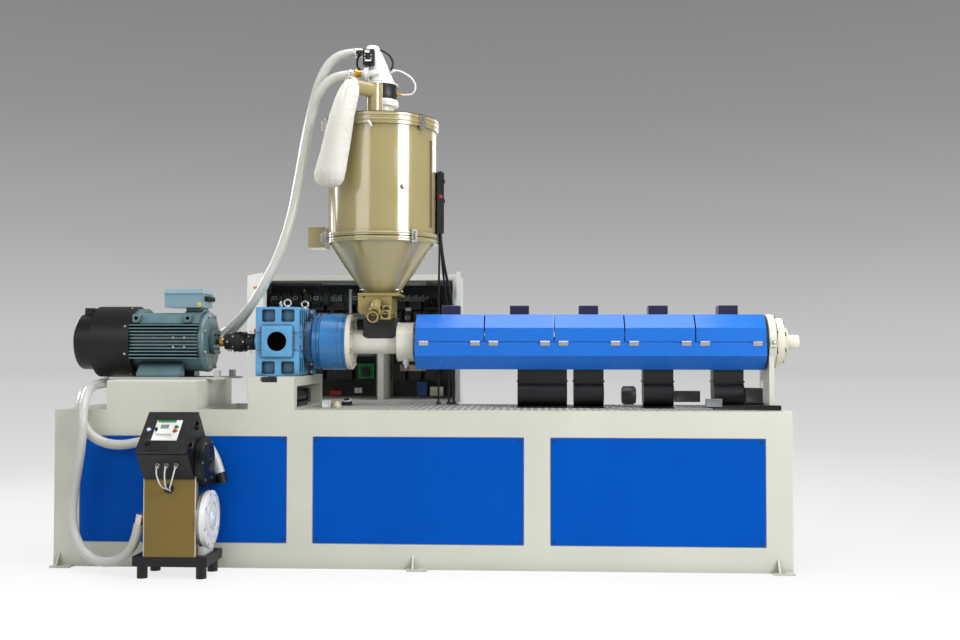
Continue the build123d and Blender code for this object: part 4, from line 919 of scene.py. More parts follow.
def buildGearbox(settings):
    eyes = []
    for number, place in enumerate(settings["eyes"]):
        foot = (place[0], place[1], place[2] - 0.001)
        eyes.append(addTurned(foot, (0, 0, 1), [(0.014, 0.004), (0.008, 0.008)], 20))
        ringPlace = (place[0], place[1], place[2] + 0.021)
        eyes.append(addRing(ringPlace, (1, 0, 0) if number == 0 else (0.25, -1, 0), 0.0165, 0.0045, 32, 10))
    finishPiece(joinPieces(eyes), "liftingEyes", "zincSteel")
    y = settings["jointY"]
    top = [((x, y, settings["top"] - 0.003), (0, 0, 1)) for x in (0.955, 0.99, 1.05, 1.095, 1.13)]
    side = [
        ((x, 0.047, z), (0, -1, 0))
        for x in (0.9255, 1.1585)
        for z in (0.925, 0.965, 1.01, 1.14, 1.185, 1.225)
    ]
    addScrews("jointBolts", "hex", 0.0085, top + side)
    cover = addTurned(
        (settings["end"] - 0.001, -0.152, axisHeight), (1, 0, 0), [(0.053, 0.004), (0.046, 0.002)], 40
    )
    finishPiece(cover, "sideCover", "gearboxBlue")
    addScrews(
        "sideCoverScrews", "socket", 0.005,
        circleSpots(settings["end"] + 0.003, 0.0455, 6, 30, centre=(-0.152, axisHeight)), "darkSteel"
    )
    middle, radius = settings["shaftStation"], settings["boreRadius"]
    # the seal disc at the bore's floor and the liner are near-black: painted shade inside the hole
    bore = addTurned(
        (middle, -0.181, axisHeight), (0, -1, 0), [(radius, 0.003), (0.036, 0.001), (0.034, -0.002)], 40
    )
    finishPiece(bore, "boreSealAndShade", "boreShadeBlack")
    liner = addTurned((middle, -0.184, axisHeight), (0, -1, 0), [(radius, 0.036), (0.0455, -0.0345)], 48, 0)
    finishPiece(liner, "boreShadeLiner", "boreShadeBlack")
    face = addBlock((0.967, -0.2215, 1.0), (1.117, -0.2155, 1.15), 0)
    cutRound(face, (middle, -0.24, axisHeight), (0, 1, 0), 0.0475, 0.05)
    finishPiece(roundEdges(face, 0.0025, 3), "bearingCover", "gearboxBlue")
    plugs = [addTurned(
        (settings["start"] + 0.001, -0.12, 1.128), (-1, 0, 0), [(0.008, 0.012), (0.0125, 0.014), (0.01, 0.003)],
        20
    )]
    finishPiece(joinPieces(plugs), "oilFillerPlug", "redPlastic")
    sight = addTurned(
        (settings["start"] + 0.001, -0.12, 1.083), (-1, 0, 0), [(0.011, 0.006), (0.008, 0.01), (0.0095, 0.004)],
        20
    )
    finishPiece(sight, "oilLevelPlug", "palePlastic")
    # a black block filling the drain slot: painted shade inside the slot
    slot = addBlock((1.005, -0.3575, 0.879), (1.077, -0.33, 0.9045), 0.001)
    finishPiece(slot, "drainSlotShade", "blackPlastic")
    washers = [((settings["start"] - 0.001, yFoot, 0.93), (-1, 0, 0)) for yFoot in (-0.17, -0.06, 0.17)]
    addScrews(
        "inputCapBolts", "hex", 0.009,
        circleSpots(settings["start"] - 0.001, 0.085, 6, 30, (-1, 0, 0)) + washers
    )


buildGearbox(gearboxSettings)
print("gearbox fitted")

# thrust housing and feed section: flange bolts, groove lines, sensor fitting
feedSettings = {"flangeEnd": 1.384, "flangeCircle": 0.122, "grooves": (1.215, 1.322), "grooveRadius": 0.1408}


def buildFeed(settings):
    addScrews(
        "feedFlangeBolts", "hex", 0.012, circleSpots(settings["flangeEnd"], settings["flangeCircle"], 8, 22.5)
    )
    lines = [
        addRing((along, 0, axisHeight), (1, 0, 0), settings["grooveRadius"], 0.0022, 96, 8)
        for along in settings["grooves"]
    ]
    finishPiece(joinPieces(lines), "housingBeads", "thrustBlue")
    fitting = addTurned(
        (1.656, -0.034, 0.986), (0, -0.15, -1),
        [(0.013, 0.012), (0.016, 0.012), (0.009, 0.014), (0.006, 0.006)], 24
    )
    finishPiece(fitting, "sleeveFitting", "palePlastic")
    pad = addBlock((1.442, -0.0615, 1.104), (1.611, 0.0615, 1.196), 0)
    pickEnd(pad, (0, 0, -1))
    bpy.ops.mesh.extrude_region_move(TRANSFORM_OT_translate={"value": (0, 0, -0.012)})
    bpy.ops.transform.resize(value=(0.72, 1, 1), center_override=placeOf((1.5266, 0, 1.092)))
    bpy.ops.object.mode_set(mode="OBJECT")
    finishPiece(roundEdges(pad, 0.005, 3), "saddlePad", "blackPlastic")
    rim = [addRing((along, 0, axisHeight), (1, 0, 0), 0.0982, 0.0025, 96, 8) for along in (1.616, 1.694)]
    finishPiece(joinPieces(rim), "sleeveBeads", "feedSteel")


buildFeed(feedSettings)
print("feed section fitted")

# base: panel screws, tread plate, connectors on the deck
baseSettings = {
    "panelStarts": (0.128, 1.252, 2.376), "panelWidth": 0.996, "panelLow": 0.12, "panelHigh": 0.621,
    "screwInset": 0.016, "deckTop": 0.748,
    "treadPitch": 0.034, "treadStart": 1.2, "treadCount": (64, 17),
}


def buildBase(settings):
    spots = []
    for start in settings["panelStarts"]:
        for along in (start + settings["screwInset"], start + settings["panelWidth"] - settings["screwInset"]):
            for height in (
                settings["panelLow"] + settings["screwInset"], settings["panelHigh"] - settings["screwInset"]
            ):
                spots.append(((along, -0.355, height), (0, -1, 0)))
                spots.append(((along, 0.355, height), (0, 1, 0)))
    addScrews("panelScrews", "pan", 0.006, spots, "darkSteel")
    treads = []
    for turn, shift in ((math.radians(45), 0.0), (math.radians(-45), settings["treadPitch"] / 2)):
        tread = addBlock((-leftEnd - 0.011, -0.003, 0), (-leftEnd + 0.011, 0.003, 0.0012), 0)
        stepEnd(tread, (0, 0, 1), 0.0012, 0.0006)
        tread.rotation_euler = (0, 0, turn)
        tread.location = (
            station(settings["treadStart"] + shift), -0.315 + shift * 0.6, settings["deckTop"] - 0.0002
        )
        settle(tread)
        for axis, count in enumerate(settings["treadCount"]):
            row = tread.modifiers.new("row", "ARRAY")
            row.use_relative_offset = False
            row.use_constant_offset = True
            along, across = settings["treadPitch"], settings["treadPitch"] * 1.12
            row.constant_offset_displace = (0, across, 0) if axis else (along, 0, 0)
            row.count = count
        applyModifiers(tread)
        treads.append(tread)
    finishPiece(joinPieces(treads), "deckTread", "deckGrey")
    addBlocks("deckSocket", "palePlastic", [((1.245, -0.106, 0.749), (1.284, -0.072, 0.783))])
    plug = addTurned((1.318, -0.085, 0.749), (0, 0, 1), [(0.02, 0.012), (0.017, 0.01), (0.011, 0.009)], 24)
    finishPiece(plug, "deckPlug", "sandPlastic")
    bush = addTurned((1.331, 0.13, 0.749), (0, -0.35, 1), [(0.028, 0.012), (0.024, 0.01), (0.015, 0.014)], 28)
    finishPiece(bush, "deckBush", "blackPlastic")
    finishPiece(addRing((1.331, 0.122, 0.777), (0, -0.35, 1), 0.021, 0.004, 32, 8), "bushRing", "palePlastic")
    addBlocks(
        "endRail", "blackPaint",
        [((3.155, -0.23, 0.749), (3.474, -0.2, 0.772)), ((3.155, 0.02, 0.749), (3.474, 0.05, 0.772))]
    )


buildBase(baseSettings)
print("base fitted")

# hopper: gasket and bead lines, dryer's cables and knobs, hook, sight plug, wiring strip, flange bolts
hopperSettings = {
    "station": 1.5266,
    "cables": [
        [
            (1.822, 0.02, 1.632), (1.826, 0.03, 1.57), (1.834, 0.08, 1.48), (1.85, 0.17, 1.38),
            (1.868, 0.245, 1.26), (1.876, 0.25, 1.08), (1.876, 0.25, 0.9), (1.876, 0.25, 0.757)
        ],
        [
            (1.82, 0.055, 1.632), (1.822, 0.06, 1.57), (1.826, 0.11, 1.46), (1.834, 0.19, 1.34),
            (1.845, 0.25, 1.21), (1.85, 0.25, 1.05), (1.85, 0.25, 0.9), (1.85, 0.25, 0.757)
        ],
        [
            (1.81, 0.09, 1.632), (1.812, 0.1, 1.56), (1.806, 0.14, 1.45), (1.798, 0.21, 1.3),
            (1.795, 0.25, 1.1), (1.795, 0.25, 0.9), (1.795, 0.25, 0.757)
        ],
    ],
    "deckTop": 0.747,
    "cableLengths": (0.942, 0.92, 0.9),
}


def buildHopper(settings):
    middle = settings["station"]
    beads = [addRing((middle, 0, height), (0, 0, 1), radius, 0.004, 128, 8)
             for height, radius in ((2.153, 0.2835), (2.176, 0.2835), (1.603, 0.2825), (1.577, 0.2825))]
    finishPiece(joinPieces(beads), "hopperBeads", "hopperBeige")
    gaskets = [
        addRing((middle, 0, height), (0, 0, 1), radius, 0.0026, 128, 8)
        for height, radius in ((2.19, 0.2815), (1.59, 0.2832))
    ]
    finishPiece(joinPieces(gaskets), "hopperGaskets", "blackPlastic")
    for number, route in enumerate(settings["cables"]):
        addCord(
            f"hopperCable{number + 1}", route, 0.0055 if number else 0.0075, "blackPlastic",
        )
    for number, route in enumerate(settings["cables"]):
        gland = addTurned(
            (route[-1][0], route[-1][1], settings["deckTop"]), (0, 0, 1),
            [(0.016, 0.006), (0.0125, 0.009), (0.0105, 0.003)], 24
        )
        finishPiece(gland, f"deckGland{number + 1}", "blackPlastic")
    knobs = [
        addTurned((1.83, -0.07, height), (0.2, -0.98, 0), [(0.009, 0.004), (0.007, 0.01), (0.0055, 0.002)], 20)
        for height in (1.92, 1.8)
    ]
    finishPiece(knobs[0], "dryerKnob", "blackPlastic")
    finishPiece(knobs[1], "dryerSwitch", "redPlastic")
    addLine(
        "lidHook",
        [(1.494, -0.262, 2.138), (1.496, -0.292, 2.14), (1.508, -0.296, 2.128), (1.512, -0.29, 2.114)], 0.0065,
        "palePlastic"
    )
    plug = addTurned(
        (1.663, -0.236, 1.829), (0.5, -0.866, 0), [(0.014, 0.01), (0.011, 0.006), (0.012, 0.004)], 24
    )
    finishPiece(plug, "shellPlug", "brightSteel")
    addBlocks("wiringStrip", "seamBrown", [((1.778, -0.105, 1.644), (1.79, -0.075, 2.076))])
    flange = []
    for side in (-0.086, 0, 0.086):
        for along, y in (
            (middle + side, -0.091), (middle + side, 0.091), (middle - 0.091, side), (middle + 0.091, side)
        ):
            flange.append(((along, y, 1.3315), (0, 0, 1)))
    addScrews("outletFlangeBolts", "hex", 0.008, flange)
    addScrews(
        "outletFlangeNuts", "hex", 0.008,
        [
            ((x, y, 1.3165), (0, 0, -1))
            for (x, y, z), towards in flange
            if abs(y) > 0.09 or abs(x - middle) > 0.09
        ][:12]
    )


buildHopper(hopperSettings)
print("hopper fitted")

# discharge box: bent sampling pipe with its collar, square port block
dischargeSettings = {"front": -0.11, "pipe": 0.024}


def buildDischarge(settings):
    front = settings["front"]
    addLine(
        "samplePipe",
        [
            (1.521, front + 0.012, 1.262), (1.521, front - 0.03, 1.268), (1.519, front - 0.052, 1.25),
            (1.517, front - 0.062, 1.226)
        ],
        settings["pipe"], "outletOchre", roundness=8
    )
    lower = addTurned(
        (1.517, front - 0.052, 1.232), (0, -0.86, -0.5),
        [(0.0245, 0.008), (0.03, 0.012), (0.0255, 0.003), (0.0185, -0.006)], 36
    )
    finishPiece(lower, "pipeCollar", "outletOchre")
    dark = addTurned((1.517, front - 0.054, 1.231), (0, -0.86, -0.5), [(0.0184, 0.008), (0.012, 0.001)], 32)
    finishPiece(dark, "pipeMouth", "blackPlastic")
    block = addBlock((1.549, front - 0.04, 1.209), (1.594, front + 0.002, 1.254), 0.003)
    finishPiece(block, "portBlock", "outletOchre")
    port = addTurned(
        (1.5715, front - 0.0395, 1.2315), (0, -1, 0), [(0.0165, 0.003), (0.0125, 0.001), (0.011, -0.003)], 32
    )
    finishPiece(port, "portRing", "blackPlastic")
    addScrews(
        "dischargeScrews", "pan", 0.005,
        [((x, front, z), (0, -1, 0)) for x in (1.453, 1.6) for z in (1.296, 1.205)], "darkSteel"
    )


buildDischarge(dischargeSettings)
print("discharge box fitted")

# receiver on the lid: pale neck and dark collar in place of the plain one, straps, valve, air line
receiverSettings = {"station": 1.5266, "lidTop": 2.192, "airLength": 0.245}


def buildReceiver(settings):
    middle = settings["station"]
    neck = addTurned(
        (middle, 0, settings["lidTop"]), (0, 0, 1),
        [(0.06, 0.012), (0.056, 0.062), (0.081, 0.014), (0.0815, 0.01), (0.076, 0.01)], 64
    )
    finishPiece(neck, "receiverNeck", "whiteEnamel")
    collar = addTurned((middle, 0, 2.298), (0, 0, 1), [(0.0755, 0.006), (0.0758, 0.064), (0.0745, 0.006)], 64)
    for height in (2.312, 2.362):
        collar = joinPieces([collar, addRing((middle, 0, height), (0, 0, 1), 0.0755, 0.0022, 72, 8)])
    finishPiece(collar, "receiverBand", "blackPlastic")
    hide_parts("receiver_collar")
    rings = [
        addRing((middle, 0, 2.377), (0, 0, 1), 0.0772, 0.0035, 72, 8),
        addRing((middle - 0.006, 0, 2.392), (0, 0, 1), 0.0685, 0.003, 72, 8)
    ]
    finishPiece(joinPieces(rings), "receiverBeads", "whiteEnamel")
    addLine(
        "leftStrap",
        [
            (1.452, -0.028, 2.546), (1.412, -0.028, 2.532), (1.4, -0.028, 2.498), (1.402, -0.028, 2.46),
            (1.43, -0.028, 2.445)
        ],
        0.006, "blackPlastic"
    )
    addLine(
        "rightStrap",
        [
            (1.518, -0.02, 2.556), (1.556, -0.02, 2.54), (1.58, -0.02, 2.506), (1.584, -0.02, 2.468),
            (1.57, -0.02, 2.45)
        ],
        0.006, "blackPlastic"
    )
    fill = addTurned(
        (1.394, -0.06, 2.4245), (1, 0, 0.047),
        [(0.0235, 0.004), (0.0262, 0.012), (0.021, 0.003), (0.019, 0.018)], 32
    )
    finishPiece(fill, "hoseNipple", "brassMetal")
    addBlocks(
        "valveCover", "blackPlastic",
        [((1.446, -0.102, 2.474), (1.49, -0.09, 2.536)), ((1.4, -0.06, 2.528), (1.442, -0.03, 2.546))]
    )
    addBlocks(
        "valveCaps", "palePlastic",
        [((1.452, -0.11, 2.52), (1.476, -0.1, 2.534)), ((1.452, -0.106, 2.478), (1.484, -0.1, 2.486))]
    )
    addScrews(
        "valveScrews", "pan", 0.004,
        [((x, -0.102, z), (0, -1, 0)) for x in (1.452, 1.484) for z in (2.494, 2.51)], "zincSteel"
    )
    fitting = addTurned(
        (middle + 0.073, 0, 2.33), (1, 0, 0), [(0.009, 0.008), (0.0065, 0.006), (0.008, 0.007), (0.005, 0.006)],
        20
    )
    finishPiece(fitting, "airFitting", "brassMetal")
    stub = addTurned((1.566, 0, 2.452), (1, 0, 0.1), [(0.01, 0.012), (0.0075, 0.012)], 20)
    finishPiece(stub, "airStub", "palePlastic")
    addCord(
        "airLine",
        [
            (1.588, 0, 2.4545), (1.604, 0, 2.456), (1.636, 0, 2.444), (1.68, 0, 2.414), (1.7, 0, 2.37),
            (1.684, 0, 2.332), (1.65, 0, 2.33), (1.624, 0, 2.33)
        ],
        0.0042, "palePlastic"
    )
    clampSpots = (((1.386, 0, 2.5485), (1, 0, -0.02)), ((1.366, -0.06, 2.4228), (1, 0, 0.047)))
    clamps = [
        addTurned(place, towards, [(0.0243, 0.003), (0.0252, 0.009), (0.0243, 0.003)], 40)
        for place, towards in clampSpots
    ]
    finishPiece(joinPieces(clamps), "hoseClamps", "brightSteel")


buildReceiver(receiverSettings)
print("receiver fitted")

# dust bag: a gathered sack, blown up by a short cloth simulation
bagSettings = {
    "mouth": (1.4179, -0.25, 2.316),     # end of the elbow, as station, y and height
    "turn": math.radians(-28),
    "rows": [  # offsets from the mouth, half width and half depth, share of the pleats
        (-0.006, -0.030, 0.024, 0.024, 0.022, 1.0), (-0.008, -0.038, 0.006, 0.036, 0.030, 1.0),
        (-0.012, -0.044, -0.016, 0.047, 0.037, 0.9),
        (-0.019, -0.054, -0.052, 0.057, 0.040, 0.7), (-0.032, -0.061, -0.108, 0.066, 0.042, 0.45),
        (-0.046, -0.067, -0.168, 0.072, 0.043, 0.3),
        (-0.062, -0.067, -0.248, 0.077, 0.046, 0.2), (-0.078, -0.067, -0.332, 0.081, 0.049, 0.15),
        (-0.092, -0.067, -0.392, 0.086, 0.051, 0.1),
        (-0.101, -0.067, -0.438, 0.088, 0.052, 0.1), (-0.101, -0.067, -0.474, 0.078, 0.046, 0.15),
        (-0.097, -0.067, -0.496, 0.054, 0.032, 0.2),
        (-0.095, -0.067, -0.505, 0.022, 0.014, 0.2),
    ],
    "around": 84, "pleats": 12, "pleatDepth": 0.13,
    "voxel": 0.005, "pressure": 3.0, "frames": 20, "mostSwell": 0.009,
}


def blowUp(bag, settings):
    # pressure rounds the cloth between its folds; the gathered neck stays
    pick(bag)
    neckHeight = settings["mouth"][2] - 0.02
    pinned = bag.vertex_groups.new(name="neck")
    pinned.add([vertex.index for vertex in bag.data.vertices if vertex.co.z > neckHeight], 1.0, "REPLACE")
    before = [vertex.co.copy() for vertex in bag.data.vertices]
    cloth = bag.modifiers.new("air", "CLOTH")
    cloth.settings.use_pressure = True
    cloth.settings.uniform_pressure_force = settings["pressure"]
    cloth.settings.vertex_group_mass = "neck"
    cloth.settings.effector_weights.gravity = 0
    cloth.point_cache.frame_end = settings["frames"]
    for number in range(1, settings["frames"] + 1):
        bpy.context.scene.frame_set(number)
    applyModifiers(bag)
    for vertex, start in zip(bag.data.vertices, before):
        moved = vertex.co - start
        if moved.length > settings["mostSwell"]:
            vertex.co = start + moved.normalized() * settings["mostSwell"]
    bpy.context.scene.frame_set(1)


def buildBag(settings):
    pickNothing()
    rows, around = settings["rows"], settings["around"]
    bpy.ops.mesh.primitive_cylinder_add(vertices=around, radius=1, depth=2, end_fill_type="TRIFAN")
    bag = bpy.context.object
    pick(bag)
    bpy.ops.object.mode_set(mode="EDIT")
    bpy.ops.mesh.select_all(action="DESELECT")
    bpy.ops.object.mode_set(mode="OBJECT")
    for edge in bag.data.edges:
        first, last = (bag.data.vertices[number].co for number in edge.vertices)
        edge.select = abs(first.z - last.z) > 1
    bpy.ops.object.mode_set(mode="EDIT")
    bpy.ops.mesh.subdivide_edgering(number_cuts=len(rows) - 2, smoothness=0)
    bpy.ops.object.mode_set(mode="OBJECT")
    mouth = placeOf(settings["mouth"])
    turn = settings["turn"]
    for vertex in bag.data.vertices:
        level = round((1 - vertex.co.z) / 2 * (len(rows) - 1))
        along, y, height, halfWide, halfDeep, share = rows[level]
        angle = math.atan2(vertex.co.y, vertex.co.x)
        out = min(1.0, math.hypot(vertex.co.x, vertex.co.y))
        wave = math.cos(settings["pleats"] * angle + 0.5 * math.sin(3 * angle + level * 0.35))
        fold = 1 + settings["pleatDepth"] * share * wave
        wide = halfWide * out * fold * math.cos(angle)
        deep = halfDeep * out * fold * math.sin(angle)
        vertex.co = mouth + Vector((
            along + wide * math.cos(turn) - deep * math.sin(turn),
            y + wide * math.sin(turn) + deep * math.cos(turn), height
        ))
    remesh = bag.modifiers.new("weld", "REMESH")
    remesh.mode = "VOXEL"
    remesh.voxel_size = settings["voxel"]
    applyModifiers(bag)
    blowUp(bag, settings)
    smooth = bag.modifiers.new("smooth", "SUBSURF")
    smooth.levels = smooth.render_levels = 1
    applyModifiers(bag)
    bpy.ops.object.shade_smooth()
    finishPiece(bag, "dustBag", "bagCloth")
    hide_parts("dust_bag")
    wraps = [
        addRing(
            (1.4155 - 0.006 * level, -0.262 - 0.009 * level, 2.316), (-0.67, -0.74, 0), 0.0405, 0.0035, 48, 8
        )
        for level in range(3)
    ]
    finishPiece(joinPieces(wraps), "bagTie", "bagCloth")


buildBag(bagSettings)
print("dust bag made")

# loader: door panel, leads and glands, blower face, filter cap, column edges
loaderSettings = {
    "left": 0.543, "width": 0.23, "front": -0.647, "foot": 0.457, "tilt": math.radians(42), "depth": 0.181,
    "slope": 0.246,
    "leadLengths": (0.1704, 0.1712, 0.1805),
    "blowerStation": 0.818, "blowerY": -0.528, "blowerHeight": 0.256,
}


def doorPlace(across, down, out=0.0):
    # a spot on the control door: shares of its width and height from its upper left corner
    settings = loaderSettings
    up = settings["slope"] * (1 - down) - 0.01
    lift = settings["depth"] + out
    return (settings["left"] + settings["width"] * across,
            settings["front"] + up * math.cos(settings["tilt"]) - lift * math.sin(settings["tilt"]),
            settings["foot"] + up * math.sin(settings["tilt"]) + lift * math.cos(settings["tilt"]))


def addPlate(start, end, thickness, edge=0.0015):
    # a raised plate on the control door between two corners given as shares
    settings = loaderSettings
    middle = doorPlace((start[0] + end[0]) / 2, (start[1] + end[1]) / 2)
    wide = settings["width"] * (end[0] - start[0])
    high = settings["slope"] * (end[1] - start[1])
    plate = addBlock((-leftEnd - wide / 2, -high / 2, 0), (-leftEnd + wide / 2, high / 2, thickness), 0)
    stepEnd(plate, (0, 0, 1), min(wide, high) * 0.05, -min(thickness * 0.25, 0.001))
    roundEdges(plate, min(edge, thickness * 0.3))
    plate.rotation_euler = (settings["tilt"], 0, 0)
    plate.location = placeOf(middle)
    return settle(plate)


def addDoorKnob(name, finish, across, down, steps):
    out = (0, -math.sin(loaderSettings["tilt"]), math.cos(loaderSettings["tilt"]))
    return finishPiece(
        addTurned(doorPlace(across, down, -0.0005), out, steps, 28), name, finish, "control_door"
    )


def buildLoader(settings):
    finishPiece(addPlate((0.235, 0.227), (0.737, 0.733), 0.003), "panelPlate", "palePlastic", "control_door")
    finishPiece(addPlate((0.25, 0.232), (0.62, 0.275), 0.0042), "panelStrip", "greenPlastic", "control_door")
    finishPiece(addPlate((0.318, 0.325), (0.61, 0.6), 0.012), "displayBezel", "palePlastic", "control_door")
    finishPiece(
        addPlate((0.36, 0.375), (0.52, 0.47), 0.0128, 0.0005), "displayWindow", "displayGlass", "control_door"
    )
    finishPiece(addPlate((0.325, 0.285), (0.6, 0.32), 0.0036), "displayShade", "blackPlastic", "control_door")
    button = [(0.0095, 0.004), (0.0075, 0.006), (0.0065, 0.001)]
    addDoorKnob("startButton", "greenPlastic", 0.66, 0.4, button)
    addDoorKnob("stopButton", "redPlastic", 0.655, 0.5, button)
    addDoorKnob("panelKnob", "blackPlastic", 0.278, 0.467, [(0.0085, 0.004), (0.006, 0.01), (0.005, 0.001)])
    addDoorKnob("powerLamp", "whiteLamp", 0.126, 0.467, [(0.0085, 0.003), (0.0065, 0.005), (0.004, 0.001)])
    addDoorKnob("lampRing", "bluePlastic", 0.126, 0.467, [(0.0125, 0.0025), (0.0115, 0.001)])
    addDoorKnob("lockKnob", "blackPlastic", 0.195, 0.787, [(0.013, 0.006), (0.0105, 0.012), (0.0085, 0.002)])
    under = (0, -math.cos(settings["tilt"]), -math.sin(settings["tilt"]))
    glands = []
    for number, share in enumerate((0.37, 0.54, 0.73)):
        along = settings["left"] + settings["width"] * share
        glands.append(addTurned(
            (along, -0.7195, 0.5235), under,
            [(0.0095, 0.004), (0.0075, 0.004), (0.0085, 0.009), (0.005, 0.006)], 20
        ))
        start = (along, -0.7195 + 0.022 * under[1], 0.5235 + 0.022 * under[2])
        hole = (0.648 + 0.007 * number, -0.642, 0.404 - 0.004 * number)
        addCord(
            f"controlLead{number + 1}",
            [
                start, (along, start[1] + 0.016 * under[1], start[2] + 0.016 * under[2]),
                (along * 0.8 + hole[0] * 0.2, -0.742, 0.466), (along * 0.4 + hole[0] * 0.6, -0.714, 0.424),
                (hole[0], -0.668, hole[2] + 0.004), hole
            ],
            0.0033, "palePlastic"
        )
    finishPiece(joinPieces(glands), "leadGlands", "brightSteel")
    bush = addTurned(
        (0.655, -0.6465, 0.407), (0, -1, 0), [(0.0225, 0.003), (0.02, 0.0025), (0.015, -0.002)], 36
    )
    finishPiece(bush, "leadBush", "blackPlastic")
    side = [
        ((0.5385, -0.6485, 0.103), (0.5425, -0.641, 0.456)), ((0.7735, -0.6485, 0.103), (0.7775, -0.641, 0.456))
    ]
    finishPiece(joinPieces([addBlock(low, high, 0.001) for low, high in side]), "columnEdges", "creamPaint")
    rails = []
    for along in (0.5405, 0.7755):
        rail = addBlock((-leftEnd - 0.002, 0, -0.004), (-leftEnd + 0.002, 0.244, 0.003), 0.001)
        rail.rotation_euler = (settings["tilt"], 0, 0)
        rail.location = placeOf((along, -0.647, 0.457))
        rails.append(settle(rail))
    finishPiece(joinPieces(rails), "slopeEdges", "creamPaint")
    buildBlowerFace(settings)


def buildBlowerFace(settings):
    y, height = settings["blowerY"], settings["blowerHeight"]
    face = settings["blowerStation"] - 0.0005
    lip = addTurned(
        (face - 0.012, y, height), (1, 0, 0),
        [(0.1305, 0.008), (0.129, 0.006), (0.114, 0.001), (0.112, -0.006)], 72
    )
    finishPiece(lip, "blowerRim", "whiteEnamel")
    parts = [addTurned((face, y, height), (1, 0, 0), [(0.046, 0.004), (0.036, 0.004), (0.016, 0.003)], 40),
             addRing((face + 0.002, y, height), (1, 0, 0), 0.078, 0.0035, 64, 8)]
    template = addBlock((-leftEnd - 0.0025, -0.003, 0), (-leftEnd + 0.0025, 0.003, 0.07), 0.001)
    ribs = []
    for number in range(12):
        towards = (0, math.cos(math.radians(30 * number)), math.sin(math.radians(30 * number)))
        ribs.append(((face + 0.001, y + 0.044 * towards[1], height + 0.044 * towards[2]), towards))
    parts.append(copyAll(template, ribs))
    finishPiece(joinPieces(parts), "blowerRibs", "whiteEnamel")
    addScrews(
        "blowerRimScrews", "pan", 0.006,
        [
            (
                (
                    face + 0.0025, y + 0.1215 * math.cos(math.radians(a)),
                    height + 0.1215 * math.sin(math.radians(a))
                ),
                (1, 0, 0)
            )
            for a in range(15, 375, 45)
        ]
    )
    fins = [
        addTurned(
            (0.735 + 0.0105 * number, y, height), (1, 0, 0),
            [(0.0725, 0.002), (0.0755, 0.003), (0.0725, 0.001)], 64, 0
        )
        for number in range(-8, 4)
    ]
    rims = [
        addTurned((0.7765 + 0.0055 * number, y, height), (1, 0, 0), [(0.1262, 0.0015), (0.1278, 0.001)], 72, 0)
        for number in range(3)
    ]
    finishPiece(joinPieces(fins + rims), "motorFins", "drumBeige")
    cap = addTurned(
        (0.8005, -0.56, 0.525), (1, 0, 0),
        [(0.106, 0.004), (0.1, 0.006), (0.088, 0.001), (0.03, 0.003), (0.012, 0.012)], 64
    )
    finishPiece(cap, "filterCap", "blackPaint")
    addScrews(
        "filterScrews", "pan", 0.005,
        [
            (
                (0.8105, -0.56 + 0.094 * math.cos(math.radians(a)), 0.525 + 0.094 * math.sin(math.radians(a))),
                (1, 0, 0)
            )
            for a in range(0, 360, 60)
        ]
    )
    low, high = nodeBox("suction_nozzle")
    nut = addTurned(
        (0.528, (low[1] + high[1]) / 2, (low[2] + high[2]) / 2), (1, 0, 0), [(0.02, 0.004), (0.018, 0.006)], 6
    )
    finishPiece(nut, "nozzleNut", "redPlastic")


buildLoader(loaderSettings)
print("loader fitted")

# cabinet: wiring ducts, switchgear fronts, terminals, looms, rear screws, lamps of the door
cabinetSettings = {
    "gearFront": 0.872,
    "paleDucts": [
        ((1.061, 0.84, 1.416), (1.271, 0.9, 1.442)), ((1.55, 0.84, 1.412), (1.672, 0.9, 1.438)),
        ((1.22, 0.845, 1.25), (1.236, 0.874, 1.389))
    ],
    "greyDucts": [
        ((0.745, 0.85, 1.215), (1.41, 0.874, 1.25)), ((1.383, 0.83, 0.77), (1.408, 0.874, 1.18)),
        ((1.475, 0.85, 1.09), (1.83, 0.874, 1.125)), ((0.745, 0.85, 1.0), (1.37, 0.874, 1.03))
    ],
    "contactors": [
        (0.79 + 0.06 * number, 1.334)
        for number in range(6)
    ] + [(1.26 + 0.05 * number, 1.334) for number in range(3)]
    + [
        (1.51 + 0.055 * number, 1.22)
        for number in range(5)
    ] + [(0.8 + 0.06 * number, 1.12) for number in range(5)],
    "lampSpots": [(0.155, "redLamp"), (0.18, "amberLamp"), (0.205, "blueLamp")],
}


def addContactor():
    # switchgear block with a stepped nose and terminal screws, its back at the origin
    body = addBlock((-leftEnd - 0.022, -0.04, 0), (-leftEnd + 0.022, 0.04, 0.03), 0)
    stepEnd(body, (0, 0, 1), 0.008, 0.018)
    roundEdges(body, 0.0015)
    screws = [
        addTurned((-leftEnd + x, y, 0.0295), (0, 0, 1), [(0.0045, 0.001), (0.0035, 0.001)], 10, 0)
        for x in (-0.013, 0, 0.013)
        for y in (-0.0345, 0.0345)
    ]
    return joinPieces([body] + screws)


